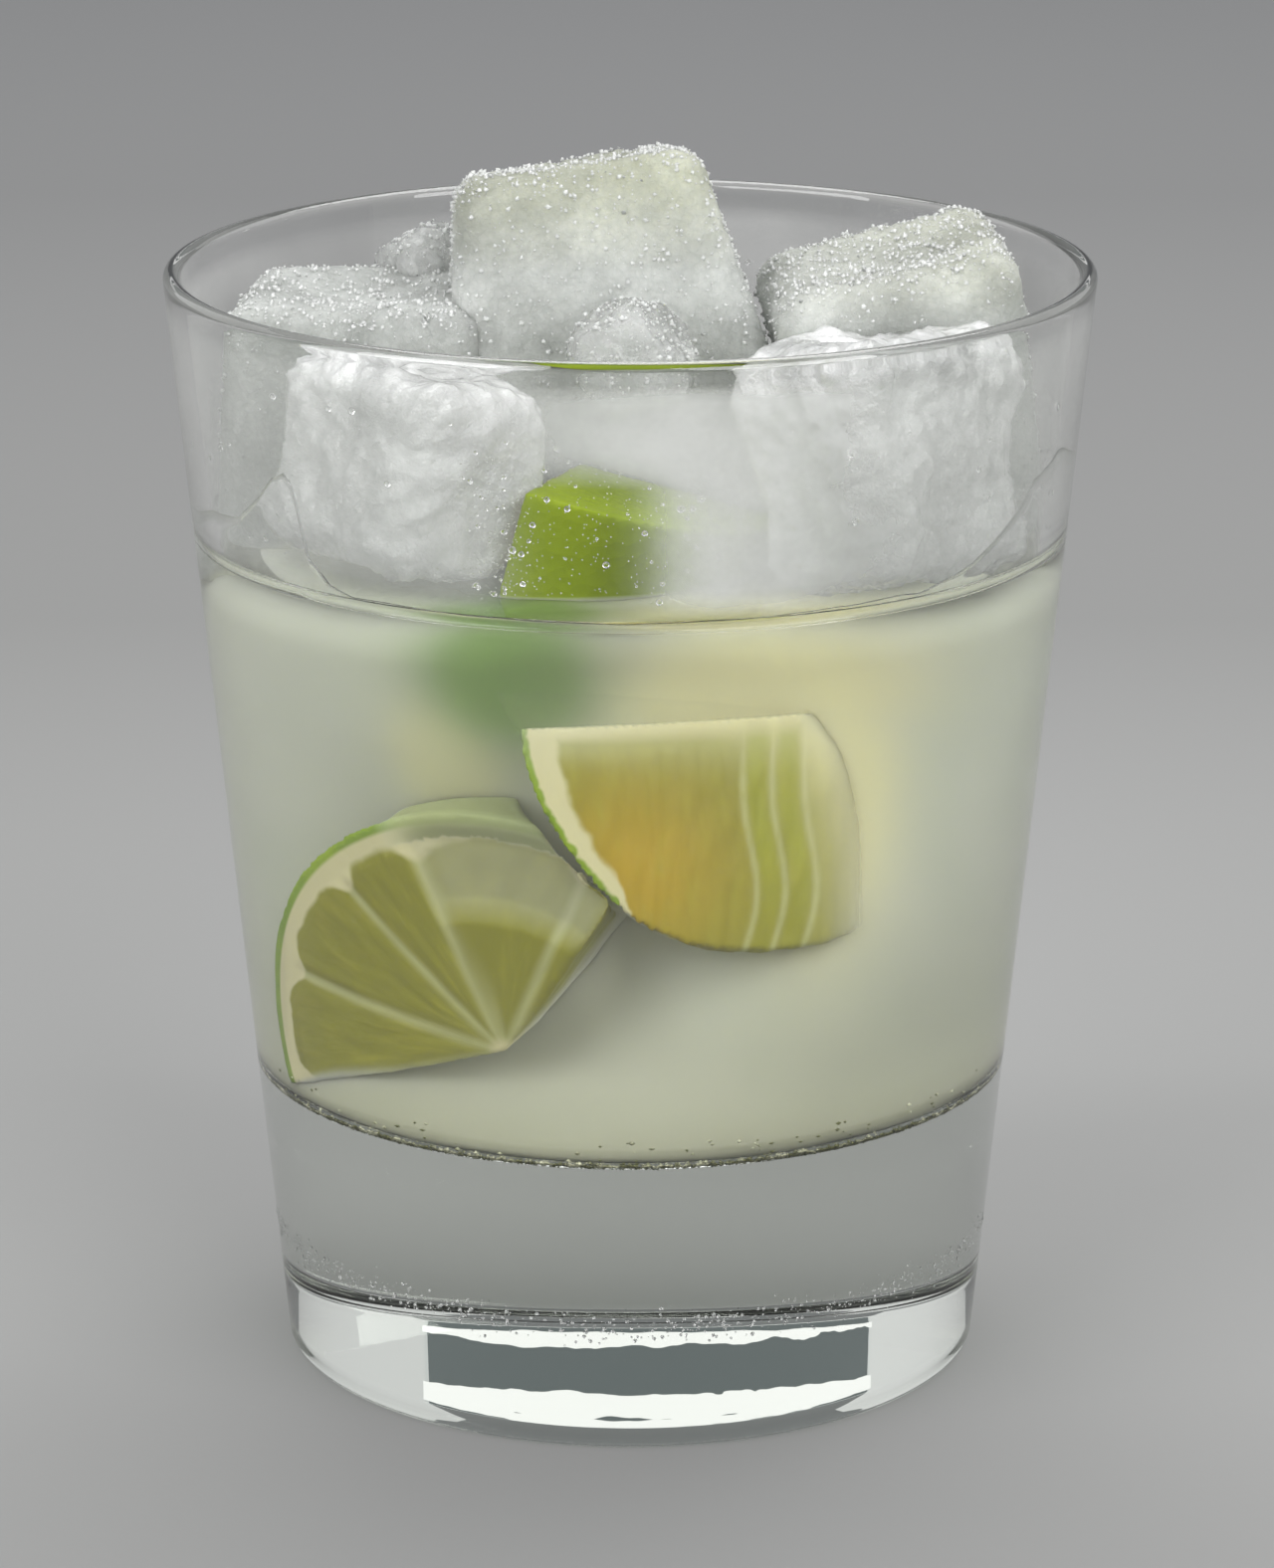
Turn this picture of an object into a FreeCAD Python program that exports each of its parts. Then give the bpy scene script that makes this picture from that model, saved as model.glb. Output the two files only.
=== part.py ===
import FreeCAD, Part
# A caipirinha: a tapered tumbler with a thick clear base, filled with a cloudy lime drink.
# Three chunks of lime stand against the front wall and blocks of ice crowd the surface.
# Millimetres, +Z up.  The origin is the middle of the foot, on the surface the glass stands on.
import math
import os
from dataclasses import dataclass

V = FreeCAD.Vector

# ---- the tumbler ----
TUMBLER_HEIGHT = 108.0
FOOT_RADIUS = 34.1          # outer wall carried down to the table
RIM_RADIUS = 44.7           # outer wall at the rim
RIM_WALL = 1.7              # wall at the rim, rounded over its whole thickness
FLOOR_WALL = 2.4            # wall just above the inside floor
BASE_THICKNESS = 28.5       # table to inside floor
FLOOR_FILLET = 3.5          # inside, where wall and floor meet
FOOT_FILLET = 1.6           # outside, where wall and foot meet
FOOT_RING = 5.0             # width of the flat ring that touches the table
PUNT_DEPTH = 0.8            # rise of the hollow under the foot

# ---- the drink ----
DRINK_DEPTH = 53.5          # inside floor to the surface

# ---- how the pieces lie ----
WALL_GAP = 0.35             # every solid piece stays this far off the glass
BASE_CLEARANCE = 0.6        # and this far off the inside floor

# ---- limes ----
LIME_NUB = 2.4              # how far each end of a lime stands out as a nub
NUB_SHARPNESS = 12          # the higher, the narrower the nub
LIME_FULLNESS = 0.87        # 1 is an ellipse; below that the fruit is fuller at its shoulders
LIME_PROFILE_POINTS = 17    # points along one side of a lime's outline

# ---- ice ----
ICE_FILLET = 3.0            # melted edges of a block
ICE_DISH = 1.1              # depth of the hollow melted into a block's top


@dataclass(frozen=True)
class Lime:
    """A chunk of lime: a sector of the fruit, cut across once.

    half_length and radius are the whole fruit's.  across is where the cross cut lies along
    the axis, from the fruit's middle; the chunk is what is left on the side that keep points to.
    place is (x, y) in shares of the drink's radius and z in shares of its depth.  axis is the
    fruit's axis, first_cut the direction of the first lengthwise cut, and sector runs from there.
    """

    name: str
    half_length: float
    radius: float
    across: float
    keep: int
    sector: float
    place: tuple
    axis: tuple
    first_cut: tuple


@dataclass(frozen=True)
class Block:
    """A block of ice: a tapered box with melted edges and a shallow dish in its top.

    bottom and top are (width, depth).  place is (x, y) in shares of the drink's radius and the
    rise of the block's middle above the drink.  turn is yaw, pitch and roll in degrees.
    """

    name: str
    bottom: tuple
    top: tuple
    height: float
    place: tuple
    turn: tuple


@dataclass(frozen=True)
class Chip:
    """A broken lump of ice: a ball with flats struck off all round.

    place is as for a Block.  stretch is the lump's half-size along x, y and z.
    """

    name: str
    stretch: tuple
    place: tuple
    flats: int
    first_turn: float


LIMES = [
    Lime("lime_middle", 22.0, 22.5, 12.0, -1, 113.0,
         (0.306, -0.612, 0.804), (0.90, 0.43, -0.03), (0.05, -0.14, -0.99)),
    Lime("lime_lower", 25.0, 24.8, 1.5, 1, 144.0,
         (-0.285, -0.672, 0.182), (0.422, 0.884, 0.201), (-0.87, 0.34, -0.36)),
    Lime("lime_upper", 26.0, 20.0, 2.5, -1, 110.0,
         (-0.115, -0.16, 1.112), (0.26, 0.0, 0.966), (-0.28, -0.96, 0.08)),
]

BLOCKS = [
    Block("ice_front_left", (15.0, 19.0), (17.0, 21.5), 18.0, (-0.515, -0.48, 10.8), (43.0, 12.0, 3.0)),
    Block("ice_front_right", (15.0, 20.0), (18.0, 24.0), 22.0, (0.58, -0.46, 11.2), (-40.0, -11.0, -4.0)),
    Block("ice_left", (29.0, 22.0), (24.0, 21.0), 26.0, (-0.63, 0.08, 10.0), (-7.0, -1.0, 3.0)),
    Block("ice_right", (20.0, 19.0), (24.0, 23.0), 29.0, (0.675, 0.075, 12.4), (5.0, -13.0, 3.0)),
    Block("ice_centre", (37.0, 26.0), (23.0, 19.0), 36.0, (-0.067, 0.10, 16.8), (4.0, -8.0, -9.0)),
]

CHIPS = [
    Chip("ice_chip_back", (6.2, 5.6, 6.4), (-0.475, 0.335, 21.4), 9, 20.0),
    Chip("ice_chip_front", (5.4, 4.8, 6.0), (0.0, -0.32, 19.5), 9, 65.0),
]


# ---- shared measures ----

def drink_level():
    """Height of the drink's surface."""
    return BASE_THICKNESS + DRINK_DEPTH


def outer_radius(z):
    """Outside of the tumbler at height z."""
    return FOOT_RADIUS + (RIM_RADIUS - FOOT_RADIUS) * z / TUMBLER_HEIGHT


def inner_radius(z):
    """Inside of the tumbler at height z."""
    share = (z - BASE_THICKNESS) / (TUMBLER_HEIGHT - BASE_THICKNESS)
    return outer_radius(z) - FLOOR_WALL - (RIM_WALL - FLOOR_WALL) * share


def across_at(x_share, y_share, z):
    """A point at height z, its x and y given in shares of the drink's radius at its surface."""
    radius = inner_radius(drink_level())
    return V(x_share * radius, y_share * radius, z)


# ---- making solids ----

def revolved(edges):
    """A solid of revolution about Z from the edges of one closed half-section."""
    return Part.Face(Part.Wire(edges)).revolve(V(0, 0, 0), V(0, 0, 1), 360)


def line(start, end):
    """A straight edge."""
    return Part.LineSegment(start, end).toShape()


def frustum(bottom_radius, top_radius, low, high):
    """An upright cone's slice between two heights."""
    return Part.makeCone(bottom_radius, top_radius, high - low, V(0, 0, low))


def rounded_below(solid, low, radius):
    """The solid with its circular edge at height low filleted."""
    edges = [edge for edge in solid.Edges if edge.BoundBox.ZMax < low + 1e-6 and edge.Closed]
    return solid.makeFillet(radius, edges)


def cavity(gap, low, high):
    """The space inside the tumbler between two heights, gap clear of the wall."""
    solid = frustum(inner_radius(low) - gap, inner_radius(high) - gap, low, high)
    return rounded_below(solid, low, FLOOR_FILLET)


def tumbler():
    """The glass: outside cone with a rounded foot, less the cavity and the hollow foot."""
    rim_height = TUMBLER_HEIGHT - RIM_WALL / 2
    body = rounded_below(frustum(FOOT_RADIUS, outer_radius(rim_height), 0, rim_height), 0, FOOT_FILLET)
    hollow = cavity(0, BASE_THICKNESS, rim_height)
    bead_radius = (outer_radius(rim_height) - inner_radius(rim_height)) / 2
    bead = Part.makeTorus(inner_radius(rim_height) + bead_radius, bead_radius, V(0, 0, rim_height))
    punt_radius = FOOT_RADIUS - FOOT_FILLET - FOOT_RING
    ball_radius = (punt_radius ** 2 + PUNT_DEPTH ** 2) / (2 * PUNT_DEPTH)
    punt = Part.makeSphere(ball_radius, V(0, 0, PUNT_DEPTH - ball_radius))
    return body.cut(hollow).fuse(bead).cut(punt).removeSplitter()


def placed(solid, place, rotation):
    """The solid turned about its own origin and then moved to place."""
    moved = solid.copy()
    moved.Placement = FreeCAD.Placement(place, rotation).multiply(moved.Placement)
    return moved


def whole_lime(half_length, radius):
    """A lime along Z about its middle, with a nub at each end."""
    points = []
    for step in range(LIME_PROFILE_POINTS):
        angle = math.pi * step / (LIME_PROFILE_POINTS - 1)
        along = abs(math.cos(angle))
        reach = half_length * along ** LIME_FULLNESS + LIME_NUB * along ** NUB_SHARPNESS
        width = radius * abs(math.sin(angle)) ** LIME_FULLNESS
        points.append(V(width, 0, math.copysign(reach, -math.cos(angle))))
    points[0].x = 0
    points[-1].x = 0
    outline = Part.BSplineCurve()
    outline.interpolate(points)
    return revolved([outline.toShape(), line(points[-1], points[0])])


def lime_chunk(lime):
    """The sector of the fruit that the lime describes, where it lies."""
    fruit = whole_lime(lime.half_length, lime.radius)
    reach = 2 * (lime.half_length + LIME_NUB)
    start = V(0, 0, lime.across if lime.keep > 0 else lime.across - reach)
    knife = Part.makeCylinder(2 * lime.radius, reach, start, V(0, 0, 1), lime.sector)
    chunk = fruit.common(knife)
    x_share, y_share, depth_share = lime.place
    place = across_at(x_share, y_share, BASE_THICKNESS + depth_share * DRINK_DEPTH)
    rotation = FreeCAD.Rotation(V(*lime.first_cut), V(), V(*lime.axis), "ZXY")
    return placed(chunk, place, rotation)


def ice_block(block):
    """A tapered, filleted block with a dished top, where it lies."""
    wide, deep = (side / 2 for side in block.bottom)
    top_wide, top_deep = (side / 2 for side in block.top)
    half = block.height / 2
    body = Part.makeWedge(-wide, -half, -deep, -top_deep, -top_wide,
                          wide, half, deep, top_deep, top_wide)
    body.rotate(V(0, 0, 0), V(1, 0, 0), 90)
    body = body.makeFillet(ICE_FILLET, body.Edges)
    dish_width = min(top_wide, top_deep) - ICE_FILLET
    ball_radius = (dish_width ** 2 + ICE_DISH ** 2) / (2 * ICE_DISH)
    body = body.cut(Part.makeSphere(ball_radius, V(0, 0, half + ball_radius - ICE_DISH)))
    x_share, y_share, rise = block.place
    return placed(body, across_at(x_share, y_share, drink_level() + rise), FreeCAD.Rotation(*block.turn))


def ice_chip(chip):
    """A ball cut by flats that turn about it like facets, where it lies."""
    long, deep, high = chip.stretch
    biggest = max(chip.stretch)
    lump = Part.makeSphere(biggest)
    for flat in range(chip.flats):
        turn = chip.first_turn + 137.5 * flat
        tilt = 180.0 * (flat + 0.5) / chip.flats
        bearing = math.radians(turn)
        slope = math.radians(tilt)
        facing = V(math.sin(slope) * math.cos(bearing), math.sin(slope) * math.sin(bearing), math.cos(slope))
        reach = math.sqrt((facing.x * long) ** 2 + (facing.y * deep) ** 2 + (facing.z * high) ** 2)
        slab = Part.makeCylinder(2 * biggest, biggest, facing * (0.86 * reach), facing)
        lump = lump.cut(slab)
    x_share, y_share, rise = chip.place
    return placed(lump, across_at(x_share, y_share, drink_level() + rise), FreeCAD.Rotation())


def largest(shape):
    """The biggest solid of a shape."""
    return max(shape.Solids, key=lambda solid: solid.Volume)


def contents():
    """Limes and ice by name: each melted or pressed against those before it and the glass."""
    shaped = [(lime.name, lime_chunk(lime)) for lime in LIMES]
    shaped += [(block.name, ice_block(block)) for block in BLOCKS]
    shaped += [(chip.name, ice_chip(chip)) for chip in CHIPS]
    room = cavity(WALL_GAP, BASE_THICKNESS + BASE_CLEARANCE, 2 * TUMBLER_HEIGHT)
    pieces = {}
    for name, solid in shaped:
        solid = solid.common(room)
        for other in pieces.values():
            if solid.BoundBox.intersect(other.BoundBox):
                solid = solid.cut(other)
        pieces[name] = largest(solid)
    return pieces


def drink(pieces):
    """The liquid up to its surface, with room for every piece that dips into it."""
    liquid = cavity(0, BASE_THICKNESS, drink_level())
    for solid in pieces.values():
        if solid.BoundBox.ZMin < drink_level():
            liquid = liquid.cut(solid)
    return largest(liquid)


def main():
    """Build every piece and write one STEP file each."""
    os.makedirs("parts", exist_ok=True)
    pieces = contents()
    nodes = {"tumbler": tumbler(), "drink": drink(pieces), **pieces}
    for name, solid in nodes.items():
        if not solid.isValid():
            raise ValueError(name + " is not a valid solid")
        solid.exportStep("parts/" + name + ".step")
        print(name, len(solid.Solids), round(solid.Volume / 1000, 2), "cm3")


main()
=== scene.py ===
"""A caipirinha in a heavy-based tumbler, dressed around its packed construction.

Every length in the classes below is in millimetres, and MM turns it to metres where a mesh is made. Turns
round the glass are degrees from the front, growing to the right.
"""

import sys

import logging
import math
from dataclasses import dataclass
from enum import Enum
from itertools import product
from typing import ClassVar

import bmesh
import bpy
import numpy as np
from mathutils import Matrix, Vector
from mathutils.kdtree import KDTree


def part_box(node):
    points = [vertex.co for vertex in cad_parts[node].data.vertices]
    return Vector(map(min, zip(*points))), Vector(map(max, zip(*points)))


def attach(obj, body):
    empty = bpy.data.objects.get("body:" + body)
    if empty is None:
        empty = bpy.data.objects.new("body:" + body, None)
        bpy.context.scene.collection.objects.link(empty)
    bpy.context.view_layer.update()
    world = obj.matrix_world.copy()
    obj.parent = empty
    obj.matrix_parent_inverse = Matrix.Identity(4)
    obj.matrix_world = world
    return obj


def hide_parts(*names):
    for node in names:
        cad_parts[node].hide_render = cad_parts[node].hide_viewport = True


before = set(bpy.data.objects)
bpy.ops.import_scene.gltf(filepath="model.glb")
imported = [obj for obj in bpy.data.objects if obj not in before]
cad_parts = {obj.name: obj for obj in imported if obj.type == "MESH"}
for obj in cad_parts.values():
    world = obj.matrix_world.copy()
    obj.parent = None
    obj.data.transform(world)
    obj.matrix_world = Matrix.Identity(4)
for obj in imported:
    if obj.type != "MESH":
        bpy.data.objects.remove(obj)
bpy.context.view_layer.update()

MM = 0.001
LOG = logging.getLogger("caipirinha")
Material = bpy.types.Material
Mesh = bpy.types.Mesh
Node = bpy.types.Node
Piece = bpy.types.Object
Socket = bpy.types.NodeSocket
Tree = bpy.types.NodeTree


# ------------------------------------------------------------------------------------ colour and nodes


def linear(hex_colour: str) -> tuple[float, float, float, float]:
    """Turns an sRGB hex colour into linear red, green, blue and an alpha of one.

    Args:
        hex_colour: the colour as "#RRGGBB".

    Returns:
        The four numbers that a colour socket takes.
    """
    parts = [int(hex_colour[i : i + 2], 16) / 255 for i in (1, 3, 5)]
    return (*(c / 12.92 if c <= 0.04045 else ((c + 0.055) / 1.055) ** 2.4 for c in parts), 1.0)


def add_node(tree: Tree, kind: str, sockets: dict | None = None, **settings: object) -> Node:
    """Adds one node to a tree, with its settings, constants and links.

    Args:
        tree: the node tree.
        kind: the node's type without its "ShaderNode" prefix.
        sockets: input name or index, with a constant, a hex colour, an output socket, or a node whose
            first live output is meant.
        settings: the node's own attributes.

    Returns:
        The node.
    """
    node = tree.nodes.new("ShaderNode" + kind)
    for name, value in settings.items():
        setattr(node, name, value)
    for key, value in (sockets or {}).items():
        named = [s for s in node.inputs if s.enabled and s.name == key]
        socket = named[0] if named else node.inputs[key]
        if isinstance(value, Node):
            value = next(s for s in value.outputs if s.enabled)
        if isinstance(value, Socket):
            tree.links.new(value, socket)
        else:
            socket.default_value = linear(value) if isinstance(value, str) else value
    return node


def colour_ramp(node: Node, stops: tuple[tuple[float, str], ...]) -> Node:
    """Sets the stops of a colour ramp.

    Args:
        node: a ColorRamp node.
        stops: each stop's place from 0 to 1 and its hex colour.

    Returns:
        The same node.
    """
    elements = node.color_ramp.elements
    for place, colour in stops[2:]:
        elements.new(place)
    for element, (place, colour) in zip(elements, stops):
        element.position = place
        element.color = linear(colour)
    return node


def new_tree(name: str) -> tuple[Material, Tree]:
    """Makes an empty node material.

    Args:
        name: the material's name.

    Returns:
        The material and its tree.
    """
    material = bpy.data.materials.new(name)
    material.use_nodes = True
    material.node_tree.nodes.clear()
    return material, material.node_tree


def clear_skin(
    tree: Tree, ior: float, lamp_share: str | tuple = "#FFFFFF", skin: dict | None = None
) -> Node:
    """Adds a surface that bends what is seen through it, and lets lamp light through to what it holds.

    Args:
        tree: the material's tree.
        ior: how strongly it bends light.
        lamp_share: the colour that lamp light has behind it.
        skin: what differs from a clear, smooth surface, by the glass shader's own sockets.

    Returns:
        The surface's shader.
    """
    glass = add_node(tree, "BsdfGlass", {"Color": "#FFFFFF", "Roughness": 0.0, "IOR": ior, **(skin or {})})
    clear = add_node(tree, "BsdfTransparent", {"Color": lamp_share})
    lamp = add_node(tree, "LightPath").outputs["Is Shadow Ray"]
    return add_node(tree, "MixShader", {0: lamp, 1: glass, 2: clear})


# -------------------------------------------------------------------------------------------- finishes


@dataclass(frozen=True)
class PressedGlass:
    """Soda-lime glass, pressed and fire-polished: clear, hard, and faintly green where it is thick."""

    ior: float = 1.52
    lamp_share: str = "#FCFEFC"
    edge_green: str = "#A9B3A2"
    absorption_per_metre: float = 9.0

    def material(self) -> Material:
        """Builds the glass, whose thick base turns grey-green and whose wall lets lamp light through.

        Returns:
            The material.
        """
        material, tree = new_tree("pressed_soda_lime_glass")
        green = {"Color": self.edge_green, "Density": self.absorption_per_metre}
        volume = add_node(tree, "VolumeAbsorption", green)
        surface = clear_skin(tree, self.ior, self.lamp_share)
        add_node(tree, "OutputMaterial", {"Surface": surface, "Volume": volume})
        return material


@dataclass(frozen=True)
class CloudyJuice:
    """Cachaça, sugar and pressed lime juice, stirred: like water, with a thin cloud of oil and pulp."""

    ior: float = 1.345
    cloud: str = "#F9FAEC"
    cloud_per_metre: float = 13.0
    tint: str = "#E8EECB"
    tint_per_metre: float = 4.0
    forward: float = 0.6

    def material(self) -> Material:
        """Builds the liquid, which bends light at its skin and scatters it inside.

        Returns:
            The material.
        """
        material, tree = new_tree("cloudy_lime_juice")
        cloud = {"Color": self.cloud, "Density": self.cloud_per_metre, "Anisotropy": self.forward}
        scatter = add_node(tree, "VolumeScatter", cloud)
        absorb = add_node(tree, "VolumeAbsorption", {"Color": self.tint, "Density": self.tint_per_metre})
        volume = add_node(tree, "AddShader", {0: scatter, 1: absorb})
        add_node(tree, "OutputMaterial", {"Surface": clear_skin(tree, self.ior), "Volume": volume})
        return material


@dataclass(frozen=True)
class JuiceHaze:
    """The depth of the cloudy juice, past which nothing shows: pale, soft and uneven where pulp hangs."""

    pale: str = "#CDCEC1"
    deep: str = "#C6C9BB"
    # a darker haze colour towards the bottom
    low_tone: str = "#989784"
    cream: str = "#E2DAA6"
    green: str = "#6B8C38"
    # glow: painted light, a lighter haze colour where the limes shade it
    glow: str = "#E8E7DB"
    billow_mm: float = 22.0
    scatter_mm: float = 5.0

    def body(self, tree: Tree, colour: Node) -> Node:
        """Adds the shader of juice too cloudy to see into, matt and lit from within.

        Args:
            tree: the material's tree.
            colour: the juice's colour.

        Returns:
            The shader.
        """
        matt = {"Base Color": colour, "Roughness": 1.0, "Specular IOR Level": 0.0}
        spread = {"Subsurface Radius": (1.0, 1.0, 0.85), "Subsurface Scale": self.scatter_mm * MM}
        return add_node(tree, "BsdfPrincipled", {**matt, "Subsurface Weight": 1.0, **spread})

    def material(self) -> Material:
        """Builds the haze, slow swirls of two near colours with the tinges that the mesh carries, one of
        which, glow, is painted light.

        Returns:
            The material.
        """
        material, tree = new_tree("lime_juice_haze_stirred")
        place = add_node(tree, "TexCoord").outputs["Object"]
        slow = {"Vector": place, "Scale": 1 / (self.billow_mm * MM), "Detail": 2.0, "Distortion": 0.6}
        swirl = add_node(tree, "TexNoise", slow)
        colour = add_node(tree, "ValToRGB", {"Fac": swirl})
        colour_ramp(colour, ((0.36, self.deep), (0.62, self.pale)))
        # the glow tinge is painted light over the limes' shade
        for name in ("low_tone", "cream", "green", "glow"):
            share = add_node(tree, "Attribute", attribute_name=name).outputs["Fac"]
            tinged = {"Factor": share, "A": colour, "B": getattr(self, name)}
            colour = add_node(tree, "Mix", tinged, data_type="RGBA")
        add_node(tree, "OutputMaterial", {"Surface": self.body(tree, colour)})
        return material


@dataclass(frozen=True)
class LimeFruit:
    """A ripe lime, cut and pressed: oily green peel, cream pith, and flesh of juice sacs in segments."""

    peel: str = "#6C8900"
    peel_light: str = "#8BA200"
    # painted light: a lighter peel laid on the chunk that stands above the drink
    peel_painted_light: str = "#92A400"
    pith: str = "#CBC398"
    flesh_green: str = "#7F7C00"
    flesh_ripe: str = "#A88A00"
    flesh_bar: str = "#8E8E00"
    sac_light: str = "#9A9218"
    membrane: str = "#BCBB8C"
    haze: str = "#C8C9BC"
    cream: str = "#E2DAA6"
    # veil: painted shade, a darker cloud colour for skin drawn in out of sight, which would otherwise show
    # lighter than the haze round it
    veil: str = "#8E9468"
    peel_mm: float = 0.95
    pith_mm: float = 3.15
    pith_wander_mm: float = 1.1
    core_mm: float = 1.2
    membrane_mm: float = 0.45
    membrane_share: float = 0.62
    gland_mm: float = 1.1
    sac_mm: float = 1.7
    sacs_across: float = 6.0
    sac_stretch: float = 0.16
    sharpest_mm: float = 0.14

    def material(self) -> Material:
        """Builds the fruit from what each chunk's mesh carries about where its points lie in the fruit.

        Returns:
            The material.
        """
        material, tree = new_tree("cut_lime")
        numbers = "depth rind segment reach ripe rib bar sunny blur haze cream veil fade".split()
        carried = {n: add_node(tree, "Attribute", attribute_name=n).outputs["Fac"] for n in numbers}
        fruit = add_node(tree, "Attribute", attribute_name="fruit").outputs["Vector"]
        colour, sacs = self._flesh(tree, fruit, carried)
        gap = self._membrane_gap(tree, carried["segment"], carried["reach"])
        web = self._within(tree, gap, self.membrane_mm, carried["blur"], 1.0)
        web = add_node(tree, "Math", {0: web, 1: self.membrane_share}, operation="MULTIPLY")
        web = add_node(tree, "Math", {0: web, 1: carried["rib"]}, operation="MAXIMUM")
        wander = add_node(tree, "TexNoise", {"Vector": fruit, "Scale": 0.45, "Detail": 2.0})
        uneven = {0: wander, 1: self.pith_wander_mm, 2: carried["rind"]}
        rind = add_node(tree, "Math", uneven, operation="MULTIPLY_ADD")
        in_pith = self._within(tree, rind, self.pith_mm, carried["blur"], 1.2)
        core = self._within(tree, carried["reach"], self.core_mm, carried["blur"], 1.2)
        white = add_node(tree, "Math", {0: core, 1: in_pith}, operation="MAXIMUM")
        skin_noise = add_node(tree, "TexNoise", {"Vector": fruit, "Scale": 0.16, "Detail": 4.0})
        skin = add_node(tree, "ValToRGB", {"Fac": skin_noise})
        colour_ramp(skin, ((0.35, self.peel), (0.7, self.peel_light)))
        # painted light: the peel lightens on the chunk above the drink
        sunny = {"Factor": carried["sunny"], "A": skin, "B": self.peel_painted_light}
        skin = add_node(tree, "Mix", sunny, data_type="RGBA")
        in_peel = self._within(tree, carried["depth"], self.peel_mm, carried["blur"], 0.5)
        for share, over in ((web, self.membrane), (white, self.pith), (in_peel, skin)):
            colour = add_node(tree, "Mix", {"Factor": share, "A": colour, "B": over}, data_type="RGBA")
        glands = add_node(tree, "TexVoronoi", {"Vector": fruit, "Scale": 1 / self.gland_mm})
        dimple = add_node(tree, "Mix", {"Factor": in_peel, "A": sacs, "B": glands.outputs["Distance"]})
        bump = add_node(tree, "Bump", {"Height": dimple, "Strength": 0.35, "Distance": 0.25 * MM})
        oily = {"Base Color": colour, "Roughness": 0.42, "Specular IOR Level": 0.1, "Normal": bump}
        soft = {"Subsurface Radius": (1.0, 0.9, 0.3), "Subsurface Scale": 2.0 * MM}
        body = add_node(tree, "BsdfPrincipled", {**oily, "Subsurface Weight": 0.15, **soft})
        # painted shade: the cloud colour darkens towards veil where the skin is drawn in
        pale = self.haze
        for name in ("cream", "veil"):
            tinged = {"Factor": carried[name], "A": pale, "B": getattr(self, name)}
            pale = add_node(tree, "Mix", tinged, data_type="RGBA")
        cloud = JuiceHaze().body(tree, pale)
        seen = add_node(tree, "MixShader", {0: carried["haze"], 1: body, 2: cloud})
        gone = add_node(tree, "BsdfTransparent", {"Color": "#FFFFFF"})
        seen = add_node(tree, "MixShader", {0: carried["fade"], 1: seen, 2: gone})
        add_node(tree, "OutputMaterial", {"Surface": seen})
        return material

    def _within(self, tree: Tree, value: Node | Socket, edge: float, blur: Socket, spread: float) -> Node:
        """Adds a share that is one where a distance is under an edge, and softer where the drink blurs it.

        Args:
            tree: the material's tree.
            value: the distance, in millimetres.
            edge: the distance at which the share is a half.
            blur: how far the drink blurs a line there, in millimetres.
            spread: how much of that blur this edge takes.

        Returns:
            The node that gives the share.
        """
        soft = add_node(tree, "Math", {0: blur, 1: spread, 2: self.sharpest_mm}, operation="MULTIPLY_ADD")
        low = add_node(tree, "Math", {0: edge, 1: soft}, operation="SUBTRACT")
        high = add_node(tree, "Math", {0: edge, 1: soft}, operation="ADD")
        falling = {"Value": value, "From Min": low, "From Max": high, "To Min": 1.0, "To Max": 0.0}
        return add_node(tree, "MapRange", falling, interpolation_type="SMOOTHSTEP")

    def _membrane_gap(self, tree: Tree, segment: Socket, reach: Socket) -> Node:
        """Adds the distance in millimetres to the nearest membrane.

        Args:
            tree: the material's tree.
            segment: the count of segments turned through, whole at a membrane.
            reach: the distance from the fruit's axis in millimetres.

        Returns:
            The node that gives the distance.
        """
        value, pitch = segment, LimeChunk.pitch_radians()
        centred = (("ADD", 0.5), ("FRACT",), ("SUBTRACT", 0.5), ("ABSOLUTE",))
        for operation, *more in (*centred, ("MULTIPLY", reach), ("MULTIPLY", pitch)):
            value = add_node(tree, "Math", dict(enumerate((value, *more))), operation=operation)
        return value

    def _flesh(self, tree: Tree, fruit: Socket, carried: dict) -> tuple[Node, Node]:
        """Adds the juice sacs, long teardrops that point at the axis, in slowly changing green and yellow.

        Args:
            tree: the material's tree.
            fruit: the place in the fruit in millimetres.
            carried: the chunk's own attributes by name.

        Returns:
            The colour node and the height node of the sacs.
        """
        along = add_node(tree, "SeparateXYZ", {"Vector": fruit}).outputs["Z"]
        ways = (carried["segment"], carried["reach"], along)
        scales = (self.sacs_across, self.sac_stretch, 1 / self.sac_mm)
        scaled = [add_node(tree, "Math", {0: w, 1: s}, operation="MULTIPLY") for w, s in zip(ways, scales)]
        place = add_node(tree, "CombineXYZ", dict(zip("XYZ", scaled)))
        sacs = add_node(tree, "TexNoise", {"Vector": place, "Scale": 1.0, "Detail": 3.0, "Roughness": 0.6})
        light = add_node(tree, "MapRange", {"Value": sacs, "From Min": 0.5, "From Max": 0.8, "To Max": 0.6})
        colour = self.flesh_green
        shares = (carried["ripe"], carried["bar"], light)
        tones = (self.flesh_ripe, self.flesh_bar, self.sac_light)
        for share, tone in zip(shares, tones):
            colour = add_node(tree, "Mix", {"Factor": share, "A": colour, "B": tone}, data_type="RGBA")
        return colour, sacs


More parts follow.
